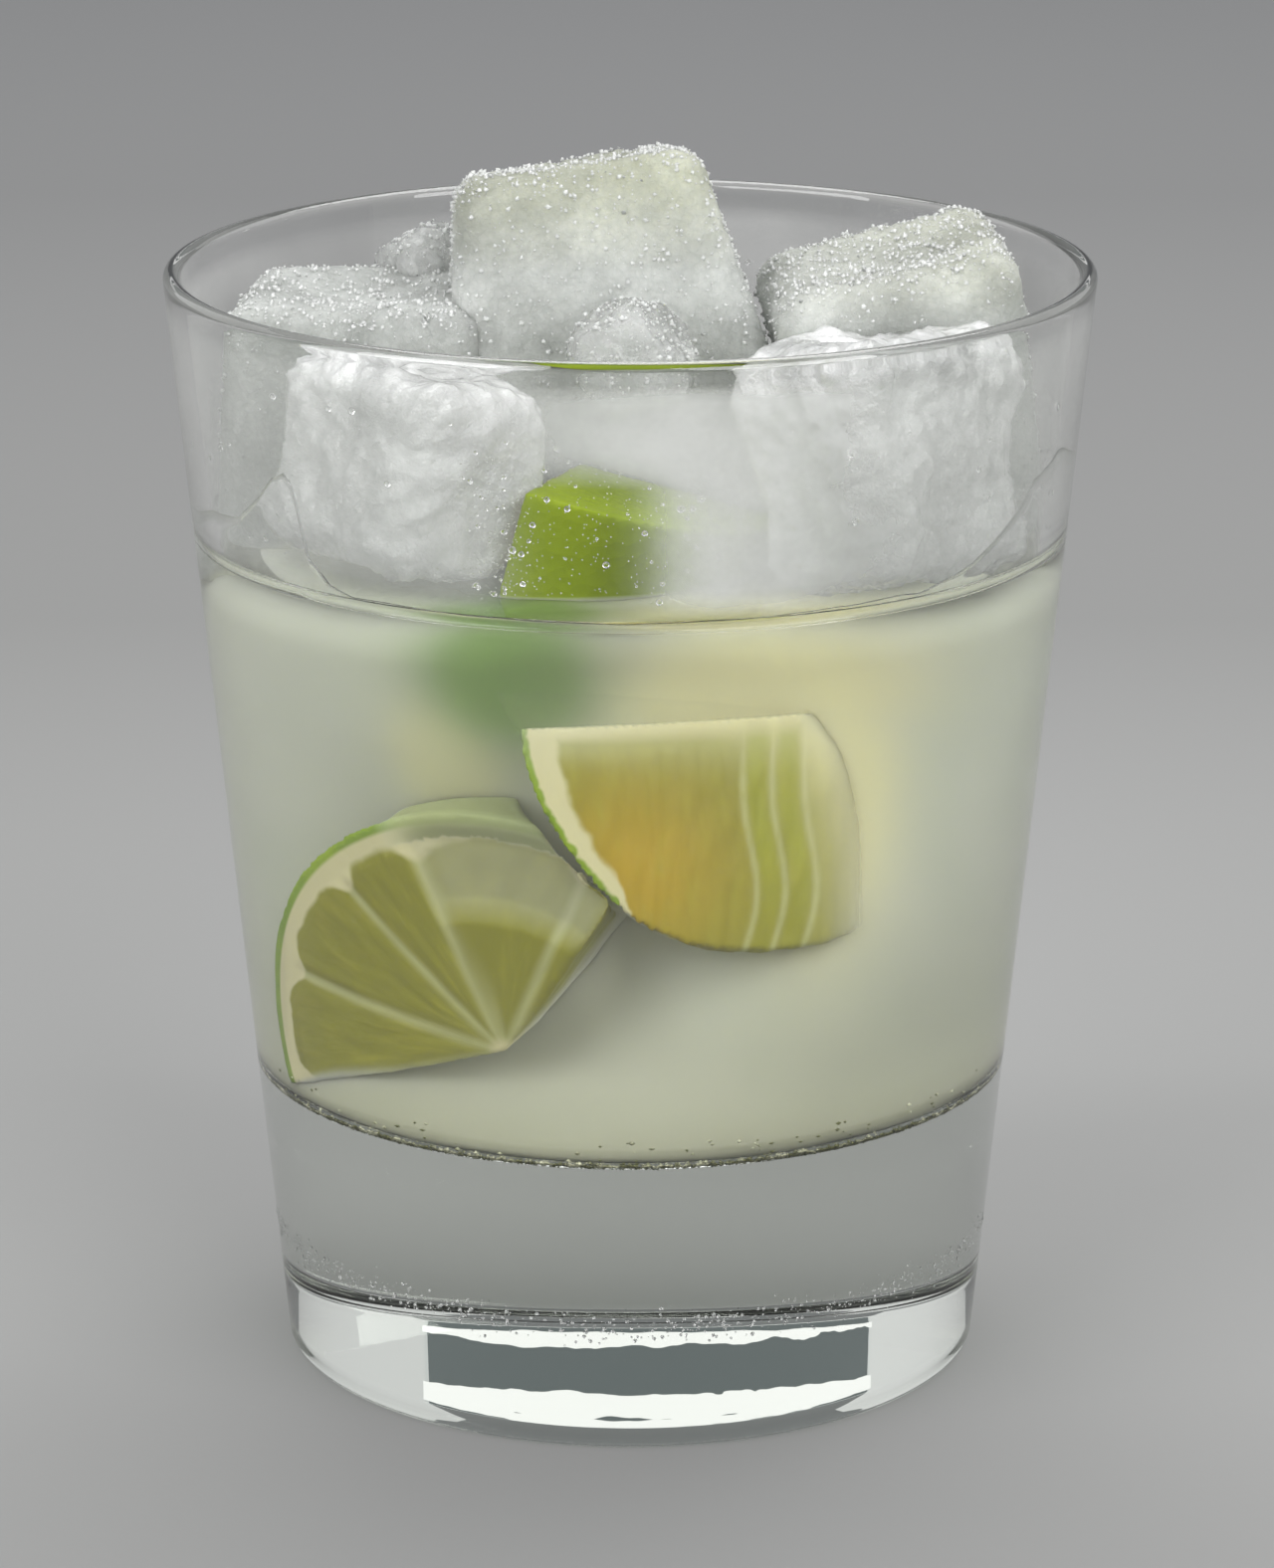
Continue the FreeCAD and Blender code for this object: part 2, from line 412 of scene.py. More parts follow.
@dataclass(frozen=True)
class FreezerIce:
    """Tap-water ice from a tray: cloudy in the middle, with a frosted or a melted wet skin."""

    frost: float = 0.72
    roughness: float = 0.3
    rime_roughness: float = 0.55
    melt_coat: float = 0.0
    grain_mm: float = 0.35
    crystal_mm: float = 0.75
    crystal_shade: float = 0.3
    cloud_mm: float = 7.0
    crack_mm: float = 11.0
    crack_share: float = 0.1
    glow_mm: float = 5.0
    through: float = 0.25
    lamp_share: float = 0.95
    frost_white: str = "#DADCD8"
    # painted shade: a grey laid where the frost crystals meet
    crystal_gap_painted_shade: str = "#B4B9B6"
    cold_tint: str = "#F3F5F2"
    warm_tint: str = "#D6D8BC"
    haze: str = "#C8C9BC"
    ior: float = 1.31

    def material(self, name: str) -> Material:
        """Builds ice whose share of white frost wanders, and which fades into the haze under the level.

        Args:
            name: the material's name.

        Returns:
            The material.
        """
        material, tree = new_tree(name)
        place = add_node(tree, "TexCoord").outputs["Object"]
        haze, warm = (
            add_node(tree, "Attribute", attribute_name=n).outputs["Fac"] for n in ("haze", "warm")
        )
        fine = {"Vector": place, "Scale": 1 / (self.grain_mm * MM), "Detail": 3.0, "Roughness": 0.65}
        grain = add_node(tree, "TexNoise", fine)
        wide = {"Vector": place, "Scale": 1 / (self.cloud_mm * MM), "Detail": 3.0}
        cloud = add_node(tree, "TexNoise", wide)
        cells = {"Vector": place, "Scale": 1 / (self.crystal_mm * MM), "Randomness": 1.0}
        crystals = add_node(tree, "TexVoronoi", cells).outputs["Distance"]
        rough = add_node(tree, "Math", {0: crystals, 1: grain}, operation="ADD")
        relief = {"Height": rough, "Strength": 1.0, "Distance": self.crystal_mm * 0.35 * MM}
        bump = add_node(tree, "Bump", relief)
        tint, white = (
            add_node(tree, "Mix", {"Factor": warm, "A": cold, "B": self.warm_tint}, data_type="RGBA")
            for cold in (self.cold_tint, self.frost_white)
        )
        skin = {"Color": tint, "Roughness": self.roughness, "Normal": bump}
        see_through = clear_skin(tree, self.ior, (*[self.lamp_share] * 3, 1.0), skin)
        split = {"Vector": place, "Scale": 1 / (self.crack_mm * MM), "Detail": 1.0, "Distortion": 1.2}
        ridge = add_node(tree, "TexNoise", split)
        for operation, *more in (("SUBTRACT", 0.5), ("ABSOLUTE",)):
            ridge = add_node(tree, "Math", dict(enumerate((ridge, *more))), operation=operation)
        veined = {"Value": ridge, "From Max": 0.012, "To Min": self.crack_share, "To Max": 0.0}
        # painted shade: the frost turns grey where its crystals meet
        shaded = {"Value": crystals, "From Min": 0.1, "From Max": 0.75, "To Max": self.crystal_shade}
        for spread, colour in ((shaded, self.crystal_gap_painted_shade), (veined, "#FFFFFF")):
            share = add_node(tree, "MapRange", spread)
            white = add_node(tree, "Mix", {"Factor": share, "A": white, "B": colour}, data_type="RGBA")
        rimed = {"Base Color": white, "Roughness": self.rime_roughness, "Normal": bump}
        soft = {"Subsurface Radius": (1.0, 1.0, 1.0), "Subsurface Scale": self.glow_mm * MM}
        coat = {"Coat Weight": self.melt_coat, "Coat Roughness": 0.05}
        rime = add_node(tree, "BsdfPrincipled", {**rimed, "Subsurface Weight": 1.0, **soft, **coat})
        glow = add_node(tree, "BsdfTranslucent", {"Color": white, "Normal": bump})
        snow = add_node(tree, "MixShader", {0: self.through, 1: rime, 2: glow})
        least, most = self.frost * 0.6, min(1.0, self.frost * 1.45)
        clouded = {"Value": cloud, "From Min": 0.3, "From Max": 0.72, "To Min": least, "To Max": most}
        share = add_node(tree, "MapRange", clouded)
        ice = add_node(tree, "MixShader", {0: share, 1: see_through, 2: snow})
        matt = {"Base Color": self.haze, "Roughness": 1.0, "Specular IOR Level": 0.0}
        sunk = add_node(tree, "BsdfPrincipled", matt)
        whole = add_node(tree, "MixShader", {0: haze, 1: ice, 2: sunk})
        add_node(tree, "OutputMaterial", {"Surface": whole})
        return material


@dataclass(frozen=True)
class StillWater:
    """Water as drops and films: perfectly smooth, seen only by how it bends what is behind it."""

    ior: float = 1.33

    def material(self) -> Material:
        """Builds the water, which lets lamp light through."""
        material, tree = new_tree("condensed_water")
        add_node(tree, "OutputMaterial", {"Surface": clear_skin(tree, self.ior)})
        return material


@dataclass(frozen=True)
class ColdMist:
    """Breath-fine condensation on the cold glass: a white veil with cleared patches."""

    white: str = "#FFFFFD"
    most: float = 0.95
    patch_mm: float = 9.0
    lit_through: float = 0.3

    def material(self) -> Material:
        """Builds the veil, see-through with a wandering share of white.

        Returns:
            The material.
        """
        material, tree = new_tree("condensation_mist")
        place = add_node(tree, "TexCoord").outputs["Object"]
        veil = add_node(tree, "Attribute", attribute_name="veil").outputs["Fac"]
        patches = {"Vector": place, "Scale": 1 / (self.patch_mm * MM), "Detail": 4.0, "Roughness": 0.62}
        patch = add_node(tree, "TexNoise", patches)
        spread = {"From Min": 0.32, "From Max": 0.68, "To Min": self.most * 0.6, "To Max": self.most}
        share = add_node(tree, "MapRange", {"Value": patch, **spread})
        share = add_node(tree, "Math", {0: share, 1: veil}, operation="MULTIPLY")
        clear = add_node(tree, "BsdfTransparent", {"Color": "#FFFFFF"})
        lit = add_node(tree, "BsdfDiffuse", {"Color": self.white})
        through = add_node(tree, "BsdfTranslucent", {"Color": self.white})
        fog = add_node(tree, "MixShader", {0: self.lit_through, 1: lit, 2: through})
        surface = add_node(tree, "MixShader", {0: share, 1: clear, 2: fog})
        add_node(tree, "OutputMaterial", {"Surface": surface})
        return material


@dataclass(frozen=True)
class JuicePulp:
    """Burst juice sacs and sugar grains that settle: small, damp, olive and pale."""

    olive: str = "#5E5F38"
    pale: str = "#D8D6BA"
    grain_mm: float = 1.5

    def material(self) -> Material:
        """Builds the pulp, each grain between olive and pale by where it lies.

        Returns:
            The material.
        """
        material, tree = new_tree("settled_lime_pulp")
        place = add_node(tree, "TexCoord").outputs["Object"]
        fine = {"Vector": place, "Scale": 1 / (self.grain_mm * MM), "Detail": 1.0}
        colour = add_node(tree, "ValToRGB", {"Fac": add_node(tree, "TexNoise", fine)})
        colour_ramp(colour, ((0.46, self.olive), (0.68, self.pale)))
        body = add_node(tree, "BsdfPrincipled", {"Base Color": colour, "Roughness": 0.4})
        add_node(tree, "OutputMaterial", {"Surface": body})
        return material


@dataclass(frozen=True)
class StudioPaper:
    """Matt grey background paper on a roll: a faint tooth, and greys from front to back that are painted
    shade at the front and painted light at the back.
    """

    # painted light and shade: darker paper at the front, lighter towards the back
    painted_light_and_shade_greys: tuple[tuple[float, str], ...] = (
        (0.0, "#757574"),
        (0.2, "#979796"),
        (0.34, "#848483"),
        (0.57, "#8D8D8D"),
        (0.93, "#BABABB"),
    )
    front_and_back: tuple[float, float] = (-0.2, 1.2)
    fibres_per_metre: float = 900.0

    def material(self) -> Material:
        """Builds the paper, with a fibre tooth that only just shows.

        Returns:
            The material.
        """
        material, tree = new_tree("grey_background_paper")
        place = add_node(tree, "TexCoord").outputs["Object"]
        tooth = add_node(tree, "TexNoise", {"Vector": place, "Scale": self.fibres_per_metre, "Detail": 2.0})
        away = add_node(tree, "SeparateXYZ", {"Vector": place}).outputs["Y"]
        front, back = self.front_and_back
        reach = add_node(tree, "MapRange", {"Value": away, "From Min": front, "From Max": back})
        # the greys paint light and shade on an evenly grey paper
        grey = colour_ramp(add_node(tree, "ValToRGB", {"Fac": reach}), self.painted_light_and_shade_greys)
        bump = add_node(tree, "Bump", {"Height": tooth, "Strength": 0.08, "Distance": 0.2 * MM})
        body = add_node(tree, "BsdfPrincipled", {"Base Color": grey, "Roughness": 0.9, "Normal": bump})
        add_node(tree, "OutputMaterial", {"Surface": body})
        return material


# --------------------------------------------------------------------------------------- mesh helpers


@dataclass(frozen=True)
class Noise:
    """Smooth seeded noise in space, from -1 to 1, the same on every run."""

    seed: int

    def at(self, points: np.ndarray, size: float, octaves: int = 3) -> np.ndarray:
        """Reads the noise.

        Args:
            points: places, one row each.
            size: the width of the largest lumps, in the unit of points.
            octaves: how many halvings of that width are added.

        Returns:
            One number for each place.
        """
        dice = np.random.default_rng(self.seed)
        table = dice.permutation(256)
        slopes = dice.normal(size=(256, 3))
        slopes /= np.linalg.norm(slopes, axis=1)[:, None]
        total, weight = np.zeros(len(points)), 1.0
        for octave in range(octaves):
            place = points * 2**octave / size + 17.3 * octave
            cell = np.floor(place).astype(int)
            part = place - cell
            ease = part**3 * (part * (part * 6 - 15) + 10)
            for corner in product((0, 1), repeat=3):
                a, b, c = (cell[:, k] + corner[k] for k in range(3))
                pick = table[(table[(table[a & 255] + b) & 255] + c) & 255]
                share = np.prod(np.where(corner, ease, 1 - ease), axis=1)
                total += weight * share * ((part - corner) * slopes[pick]).sum(1)
            weight *= 0.5
        return total * 1.4


def read_vertices(mesh: Mesh, what: str) -> np.ndarray:
    """Reads three numbers for each vertex of a mesh.

    Args:
        mesh: the mesh.
        what: the vertices' own property, "co" or "normal".

    Returns:
        The numbers, one row for each vertex.
    """
    flat = np.zeros(len(mesh.vertices) * 3)
    mesh.vertices.foreach_get(what, flat)
    return flat.reshape(-1, 3)


def points_of(mesh: Mesh) -> np.ndarray:
    """Reads a mesh's vertices as rows of millimetres."""
    return read_vertices(mesh, "co") / MM


def normals_of(mesh: Mesh) -> np.ndarray:
    """Reads a mesh's vertex normals, one row each."""
    return read_vertices(mesh, "normal")


def move_points(mesh: Mesh, points: np.ndarray) -> None:
    """Writes a mesh's vertices from rows of millimetres."""
    mesh.vertices.foreach_set("co", (points * MM).ravel())
    mesh.update()


def carry(mesh: Mesh, name: str, values: np.ndarray) -> None:
    """Stores one number, or one vector, for each vertex, for a material to read.

    Args:
        mesh: the mesh.
        name: the attribute's name.
        values: one number or one row of three for each vertex.
    """
    vector = values.ndim == 2
    attribute = mesh.attributes.new(name, "FLOAT_VECTOR" if vector else "FLOAT", "POINT")
    attribute.data.foreach_set("vector" if vector else "value", values.astype(np.float32).ravel())


def place_smooth(name: str, mesh: Mesh) -> Piece:
    """Puts a mesh into the scene as a smoothly shaded object.

    Args:
        name: the object's name.
        mesh: its mesh.

    Returns:
        The object.
    """
    mesh.polygons.foreach_set("use_smooth", [True] * len(mesh.polygons))
    mesh.update()
    return place_object(name, mesh)


def place_object(name: str, data: bpy.types.ID) -> Piece:
    """Puts a mesh, a lamp or a camera into the scene as an object."""
    placed = bpy.data.objects.new(name, data)
    bpy.context.scene.collection.objects.link(placed)
    return placed


def add_piece(name: str, points: list, faces: list) -> Piece:
    """Makes a smoothly shaded object from millimetre points and faces.

    Args:
        name: the piece's name.
        points: its vertices in millimetres.
        faces: its faces, each a list of vertex numbers.

    Returns:
        The object.
    """
    mesh = bpy.data.meshes.new(name)
    mesh.from_pydata([[c * MM for c in p] for p in points], [], faces)
    return place_smooth(name, mesh)


def arc(centre: tuple[float, float], radius: float, start: float, end: float, steps: int) -> list:
    """Points along an arc in a profile's plane.

    Args:
        centre: the arc's centre as radius and height.
        radius: the arc's radius.
        start: the first angle in degrees.
        end: the last angle in degrees.
        steps: how many spans the arc has.

    Returns:
        The points as (radius, height).
    """
    turns = [math.radians(start + (end - start) * k / steps) for k in range(steps + 1)]
    return [(centre[0] + radius * math.cos(t), centre[1] + radius * math.sin(t)) for t in turns]


def span(a: tuple[float, float], b: tuple[float, float], steps: int) -> list:
    """Points along a straight run in a profile's plane, with both ends."""
    return [(a[0] + (b[0] - a[0]) * k / steps, a[1] + (b[1] - a[1]) * k / steps) for k in range(steps + 1)]


def lathe(profile: list, segments: int) -> tuple[list, list]:
    """Turns a profile that starts and ends on the axis about Z.

    Args:
        profile: (radius, height) points, the first and the last with radius 0.
        segments: how many spans a ring has.

    Returns:
        The vertices in millimetres and the faces.
    """
    rings = profile[1:-1]
    turns = [2 * math.pi * k / segments for k in range(segments)]
    points = [(r * math.sin(t), -r * math.cos(t), z) for r, z in rings for t in turns]
    first, last = len(points), len(points) + 1
    points += [(0, 0, profile[0][1]), (0, 0, profile[-1][1])]
    faces = []
    for k in range(segments):
        n = (k + 1) % segments
        faces.append((first, n, k))
        for i in range(len(rings) - 1):
            a, b = i * segments, (i + 1) * segments
            faces.append((a + k, a + n, b + n, b + k))
        top = (len(rings) - 1) * segments
        faces.append((top + k, top + n, last))
    return points, faces


def sleeve_faces(columns: int, ring: int) -> list:
    """Joins columns of points round the glass into a closed sleeve.

    Args:
        columns: how many columns stand round the glass.
        ring: how many points go up one side of a column and down the other.

    Returns:
        The faces.
    """
    faces = []
    for c in range(columns):
        a, b = c * ring, ((c + 1) % columns) * ring
        for k in range(ring):
            n = (k + 1) % ring
            faces.append((a + k, a + n, b + n, b + k))
    return faces


def wall_turns(place: np.ndarray) -> np.ndarray:
    """Reads how far round the glass each place lies, in degrees from the front."""
    return np.degrees(np.arctan2(place[:, 0], -place[:, 1]))


def fine_copy(node: str, name: str, voxel: float, smoothing: int) -> Piece:
    """Copies a construction solid as an even, fine mesh.

    Args:
        node: the solid's node.
        name: the new piece's name.
        voxel: the mesh's spacing in millimetres.
        smoothing: how many times its corners are softened.

    Returns:
        The new object.
    """
    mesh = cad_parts[node].data.copy()
    tidy = bmesh.new()
    tidy.from_mesh(mesh)
    bmesh.ops.remove_doubles(tidy, verts=tidy.verts, dist=0.002 * MM)
    tidy.to_mesh(mesh)
    tidy.free()
    rough = place_object(name, mesh)
    remesh = rough.modifiers.new("even", "REMESH")
    remesh.mode, remesh.voxel_size = "VOXEL", voxel * MM
    if smoothing:
        soften = rough.modifiers.new("soften", "SMOOTH")
        soften.factor, soften.iterations = 0.5, smoothing
    made = bpy.data.meshes.new_from_object(rough.evaluated_get(bpy.context.evaluated_depsgraph_get()))
    bpy.data.objects.remove(rough)
    needed = ("position", "sharp_face", ".edge_verts", ".corner_vert", ".corner_edge", "material_index")
    for carried in list(made.attributes):
        if carried.name not in needed:
            made.attributes.remove(carried)
    made.materials.clear()
    return place_smooth(name, made)


def dress(piece: Piece, material: Material, slot: str, *stands_for: str) -> Piece:
    """Gives a piece its finish, its body and the nodes that it stands for, and reports it.

    Args:
        piece: the piece.
        material: its finish.
        slot: not used.
        stands_for: the construction nodes that it replaces.

    Returns:
        The same piece.
    """
    piece.data.materials.append(material)
    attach(piece, "root")
    if stands_for:
        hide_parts(*stands_for)
    LOG.info("%s: %d faces", piece.name, len(piece.data.polygons))
    return piece


# ----------------------------------------------------------------------------------------- the object


@dataclass
class Tumbler:
    """The tapered tumbler: its height and levels come from the construction, its walls from these values."""

    height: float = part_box("tumbler")[1].z / MM
    floor_top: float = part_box("drink")[0].z / MM
    level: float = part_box("drink")[1].z / MM
    level_radius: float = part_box("drink")[1].x / MM
    foot_radius: float = 34.1
    rim_radius: float = 44.7
    rim_wall: float = 1.7
    floor_wall: float = 2.4
    floor_fillet: float = 3.5
    foot_fillet: float = 1.0
    foot_ring: float = 5.0
    punt_depth: float = 0.3
    segments: int = 288
    base_waviness: float = 0.0011
    wall_waviness: float = 0.001

    def outer_radius(self, z: float) -> float:
        """The outside radius at a height."""
        return self.foot_radius + (self.rim_radius - self.foot_radius) * z / self.height

    def inner_radius(self, z: float) -> float:
        """The inside radius at a height above the floor."""
        rise = (z - self.floor_top) / (self.height - self.floor_top)
        return self.outer_radius(z) - self.floor_wall + (self.floor_wall - self.rim_wall) * rise

    def profile(self) -> list:
        """Goes from the middle of the foot, up the wall, over the rim and down to the middle of the floor.

        Returns:
            The outline as (radius, height).
        """
        ring = self.foot_radius - self.foot_ring
        lean = math.degrees(math.atan((self.rim_radius - self.foot_radius) / self.height))
        lip = self.rim_wall / 2
        lip_height = self.height - lip
        lip_centre = self.outer_radius(lip_height) - lip
        fillet_top = self.floor_top + self.floor_fillet
        fillet_in = self.inner_radius(fillet_top) - self.floor_fillet
        foot_in = self.outer_radius(self.foot_fillet) - self.foot_fillet
        line = span((0, self.punt_depth), (ring - 3.0, self.punt_depth), 22)
        line += [(ring - 1.5, self.punt_depth * 0.6), (ring, self.punt_depth * 0.15), (ring + 0.9, 0.0)]
        line += arc((foot_in, self.foot_fillet), self.foot_fillet, -90, -lean, 10)
        low, high = 3.2, lip_height - 0.6
        line += span((self.outer_radius(low), low), (self.outer_radius(high), high), 54)
        line += arc((lip_centre, lip_height), lip, 0, 180, 16)
        high = lip_height - 1
        line += span((self.inner_radius(high), high), (self.inner_radius(fillet_top), fillet_top), 40)
        line += arc((fillet_in, fillet_top), self.floor_fillet, -8, -90, 10)
        line += span((fillet_in - 0.8, self.floor_top), (0, self.floor_top), 20)
        return line

    def build(self, material: Material) -> Piece:
        """Makes the glass, with the slight unevenness that pressing leaves in its thick base.

        Args:
            material: the glass finish.

        Returns:
            The piece.
        """
        points, faces = lathe(self.profile(), self.segments)
        piece = add_piece("tumbler_glass", points, faces)
        mesh = piece.data
        place, way = points_of(mesh), normals_of(mesh)
        low = np.clip((self.floor_top + 3 - place[:, 2]) / 8, 0, 1)
        press = Noise(11).at(place, 9.0, 3) * self.base_waviness * low
        press += Noise(12).at(place, 40.0, 1) * self.wall_waviness
        move_points(mesh, place + way * press[:, None])
        return dress(piece, material, "glass", "tumbler")


GRAIN_FORM = np.array([(1, 0, 0), (-1, 0, 0), (0, 1, 0), (0, -1, 0), (0, 0, 1), (0, 0, -1)], float)
GRAIN_FACES = [(0, 2, 4), (2, 1, 4), (1, 3, 4), (3, 0, 4), (2, 0, 5), (1, 2, 5), (3, 1, 5), (0, 3, 5)]


@dataclass
class Drink:
    """The cloudy drink: its body, the haze deep in it, the film that it leaves on the wall, and its pulp.

    A hollow is a middle turn and height in the haze, with its half turn and half height.
    """

    cup: Tumbler
    into_wall: float = 0.15
    meniscus: float = 1.5
    meniscus_reach: float = 2.2
    haze_inset: float = 3.0
    haze_below: float = 1.6
    haze_above_floor: float = 0.2
    haze_round: float = 4.0
    haze_foot_round: float = 2.3
    haze_billow: float = 0.3
    hollow_depth: float = 13.0
    clear_share: float = 0.56
    hidden_share: float = 0.97
    low_tone_height: float = 16.0
    hollows: tuple[tuple[float, ...], ...] = ((-26.0, 36.0, 47.0, 17.0), (6.0, 33.0, 66.0, 19.0))
    cream_patches: tuple[tuple[float, ...], ...] = (
        (-33.0, 66.0, 9.0, 7.0, 0.6),
        (22.0, 73.0, 26.0, 7.0, 0.8),
        (34.0, 63.0, 13.0, 14.0, 0.8),
    )
    green_patches: tuple[tuple[float, ...], ...] = ((-20.0, 75.5, 14.0, 7.5, 0.95),)
    # painted light: patches where the haze, shaded by the limes, is lifted towards its glow colour
    painted_light_patches: tuple[tuple[float, ...], ...] = ((2.0, 54.0, 12.0, 7.0, 0.6), (-9.0, 49.0, 8.0, 7.0, 0.8))
    film_thickness: float = 0.42
    film_turns: tuple[float, ...] = (
        *(-180, -150, -110, -85, -68, -60, -54, -51, -48.6, -47.2, -46.5, -45.6, -42, -38),
        *(0, 40, 50, 56, 61, 63, 70, 84, 110, 150, 180),
    )
    film_heights: tuple[float, ...] = (
        *(0.4, 2.2, 1.0, 2.6, 4.4, 5.4, 8.3, 10.4, 11.1, 10.3, 7.0, 3.6, 1.5, 0.6),
        *(0.2, 0.9, 2.3, 4.8, 7.0, 8.6, 10.3, 8.0, 2.0, 1.5, 0.4),
    )
    pulp_grains: int = 3600
    pulp_sizes: tuple[float, float] = (0.18, 0.5)

    def body_profile(self) -> list:
        """Goes from the floor's middle, out, up the wall just inside the glass, and in across the surface.

        Returns:
            The outline as (radius, height).
        """
        cup, sink = self.cup, self.into_wall
        corner = cup.floor_fillet
        top = cup.level + self.meniscus
        start = cup.inner_radius(cup.floor_top + corner) - corner
        line = span((0, cup.floor_top - sink), (start, cup.floor_top - sink), 20)
        line += arc((start, cup.floor_top + corner), corner + sink, -86, -8, 10)
        low = cup.floor_top + corner + 1
        line += span((cup.inner_radius(low) + sink, low), (cup.inner_radius(top) + sink, top), 44)
        for k in range(1, 15):
            inwards = self.meniscus_reach * 2.4 * (k / 14) ** 1.5
            rise = self.meniscus * math.exp(-2.2 * inwards / self.meniscus_reach)
            line.append((cup.inner_radius(top) - inwards, cup.level + rise))
        edge = line[-1][0]
        line += span((edge - 1, cup.level), (0, cup.level), 34)
        return line

    def build_body(self, material: Material) -> Piece:
        """Makes the liquid, with a surface that isn't quite flat.

        Args:
            material: the juice's finish.

        Returns:
            The piece.
        """
        points, faces = lathe(self.body_profile(), 200)
        piece = add_piece("cloudy_drink", points, faces)
        place = points_of(piece.data)
        reach = np.hypot(place[:, 0], place[:, 1])
        inside = np.clip((self.cup.inner_radius(self.cup.level) - 1.5 - reach) / 3, 0, 1)
        surface = inside * (place[:, 2] > self.cup.level - 1)
        place[:, 2] += surface * Noise(21).at(place, 11.0, 2) * 0.25
        move_points(piece.data, place)
        return dress(piece, material, "drink", "drink")

    def haze_depth(self, turns: np.ndarray, heights: np.ndarray) -> np.ndarray:
        """How far behind the wall the haze starts: near it all round, and well back where the fruit shows.

        Args:
            turns: degrees from the front, growing to the right.
            heights: millimetres above the table.

        Returns:
            The depth in millimetres at each place.
        """
        low, high = self.cup.floor_top + self.haze_above_floor, self.cup.level - self.haze_below
        z = np.clip(heights, low, high)
        spared = np.ones(np.broadcast(turns, z).shape)
        for middle, half_turn, height, half_height in self.hollows:
            aside, above = (turns - middle) / half_turn, (z - height) / half_height
            spared = spared * (1 - 1 / (1 + (aside**2 + above**2) ** 2))
        foot = np.exp(-(((z - self.cup.floor_top) / 5.0) ** 2))
        depth = self.haze_inset * (1 - 0.8 * foot) + self.hollow_depth * (1 - spared) * (1 - foot)
        for edge, bend in ((z - low, self.haze_foot_round), (high - z, self.haze_round)):
            near = np.clip(1 - edge / bend, 0, 1)
            depth = depth + bend * (1 - np.sqrt(1 - near**2))
        return depth

    def haze_share(self, place: np.ndarray) -> np.ndarray:
        """How much of a sunk point the cloud hides, which is all of it where the haze starts.

        Args:
            place: places in millimetres, one row each.

        Returns:
            One share for each place, none above the drink's level.
        """
        behind = self.cup.inner_radius(place[:, 2]) - np.hypot(place[:, 0], place[:, 1])
        sunk = behind / self.haze_depth(wall_turns(place), place[:, 2])
        share = np.clip((sunk - self.clear_share) / (self.hidden_share - self.clear_share), 0, 1)
        share = share**2 * (3 - 2 * share)
        under = (self.cup.level - place[:, 2]) / self.haze_below
        skimmed = (under < 1) & (behind > self.haze_inset + self.haze_round)
        share = np.where(skimmed, np.clip(under, 0, 1), share)
        return share * np.clip((self.cup.level + 0.3 - place[:, 2]) / 0.8, 0, 1)

    def tinge(self, turns: np.ndarray, heights: np.ndarray, patches: tuple) -> np.ndarray:
        """How much of a tinge shows at each place: a fruit's colour through the haze, or the haze's painted
        light.

        Args:
            turns: degrees from the front, growing to the right.
            heights: millimetres above the table.
            patches: each patch's middle turn and height, its half turn and half height, and its strength.

        Returns:
            A share from 0 to 1 for each place.
        """
        total = np.zeros(len(turns))
        for turn, height, half_turn, half_height, most in patches:
            aside, above = (turns - turn) / half_turn, (heights - height) / half_height
            total = np.maximum(total, most / (1 + (aside**2 + above**2) ** 2.5))
        return total

    def build_haze(self, material: Material) -> Piece:
        """Makes the haze, a billowy body inside the liquid, hollowed where fruit lies against the wall.

        Args:
            material: the haze's finish.

        Returns:
            The piece.
        """
        cup, columns, rows = self.cup, 200, 100
        low, high = cup.floor_top + self.haze_above_floor, cup.level - self.haze_below
        shares = np.linspace(0, 1, rows)
        levels = low + (high - low) * (shares - 0.12 * np.sin(shares * 2 * math.pi))
        turns = np.linspace(-180, 180, columns, endpoint=False)
        z, turn = (grid.ravel() for grid in np.meshgrid(levels, turns, indexing="ij"))
        r = cup.inner_radius(z) - self.haze_depth(turn, z)
        points = np.stack([r * np.sin(np.radians(turn)), -r * np.cos(np.radians(turn)), z], 1).tolist()
        faces = []
        for k in range(rows - 1):
            for c in range(columns):
                n = (c + 1) % columns
                a, b = k * columns, (k + 1) * columns
                faces.append((a + c, a + n, b + n, b + c))
        points += [(0, 0, low), (0, 0, high)]
        for c in range(columns):
            n, top = (c + 1) % columns, (rows - 1) * columns
            faces += [(len(points) - 2, n, c), (top + c, top + n, len(points) - 1)]
        piece = add_piece("drink_haze", points, faces)
        place, way = points_of(piece.data), normals_of(piece.data)
        billow = Noise(22).at(place, 16.0, 2) * self.haze_billow
        move_points(piece.data, place + way * billow[:, None])
        # the haze darkens towards the floor
        carry(piece.data, "low_tone", np.exp(-(place[:, 2] - low) / self.low_tone_height))
        # glow is painted light; cream and green are the fruit's colour through the haze
        tinges = {"cream": self.cream_patches, "green": self.green_patches, "glow": self.painted_light_patches}
        for name, patches in tinges.items():
            carry(piece.data, name, self.tinge(wall_turns(place), place[:, 2], patches))
        return dress(piece, material, "drink")

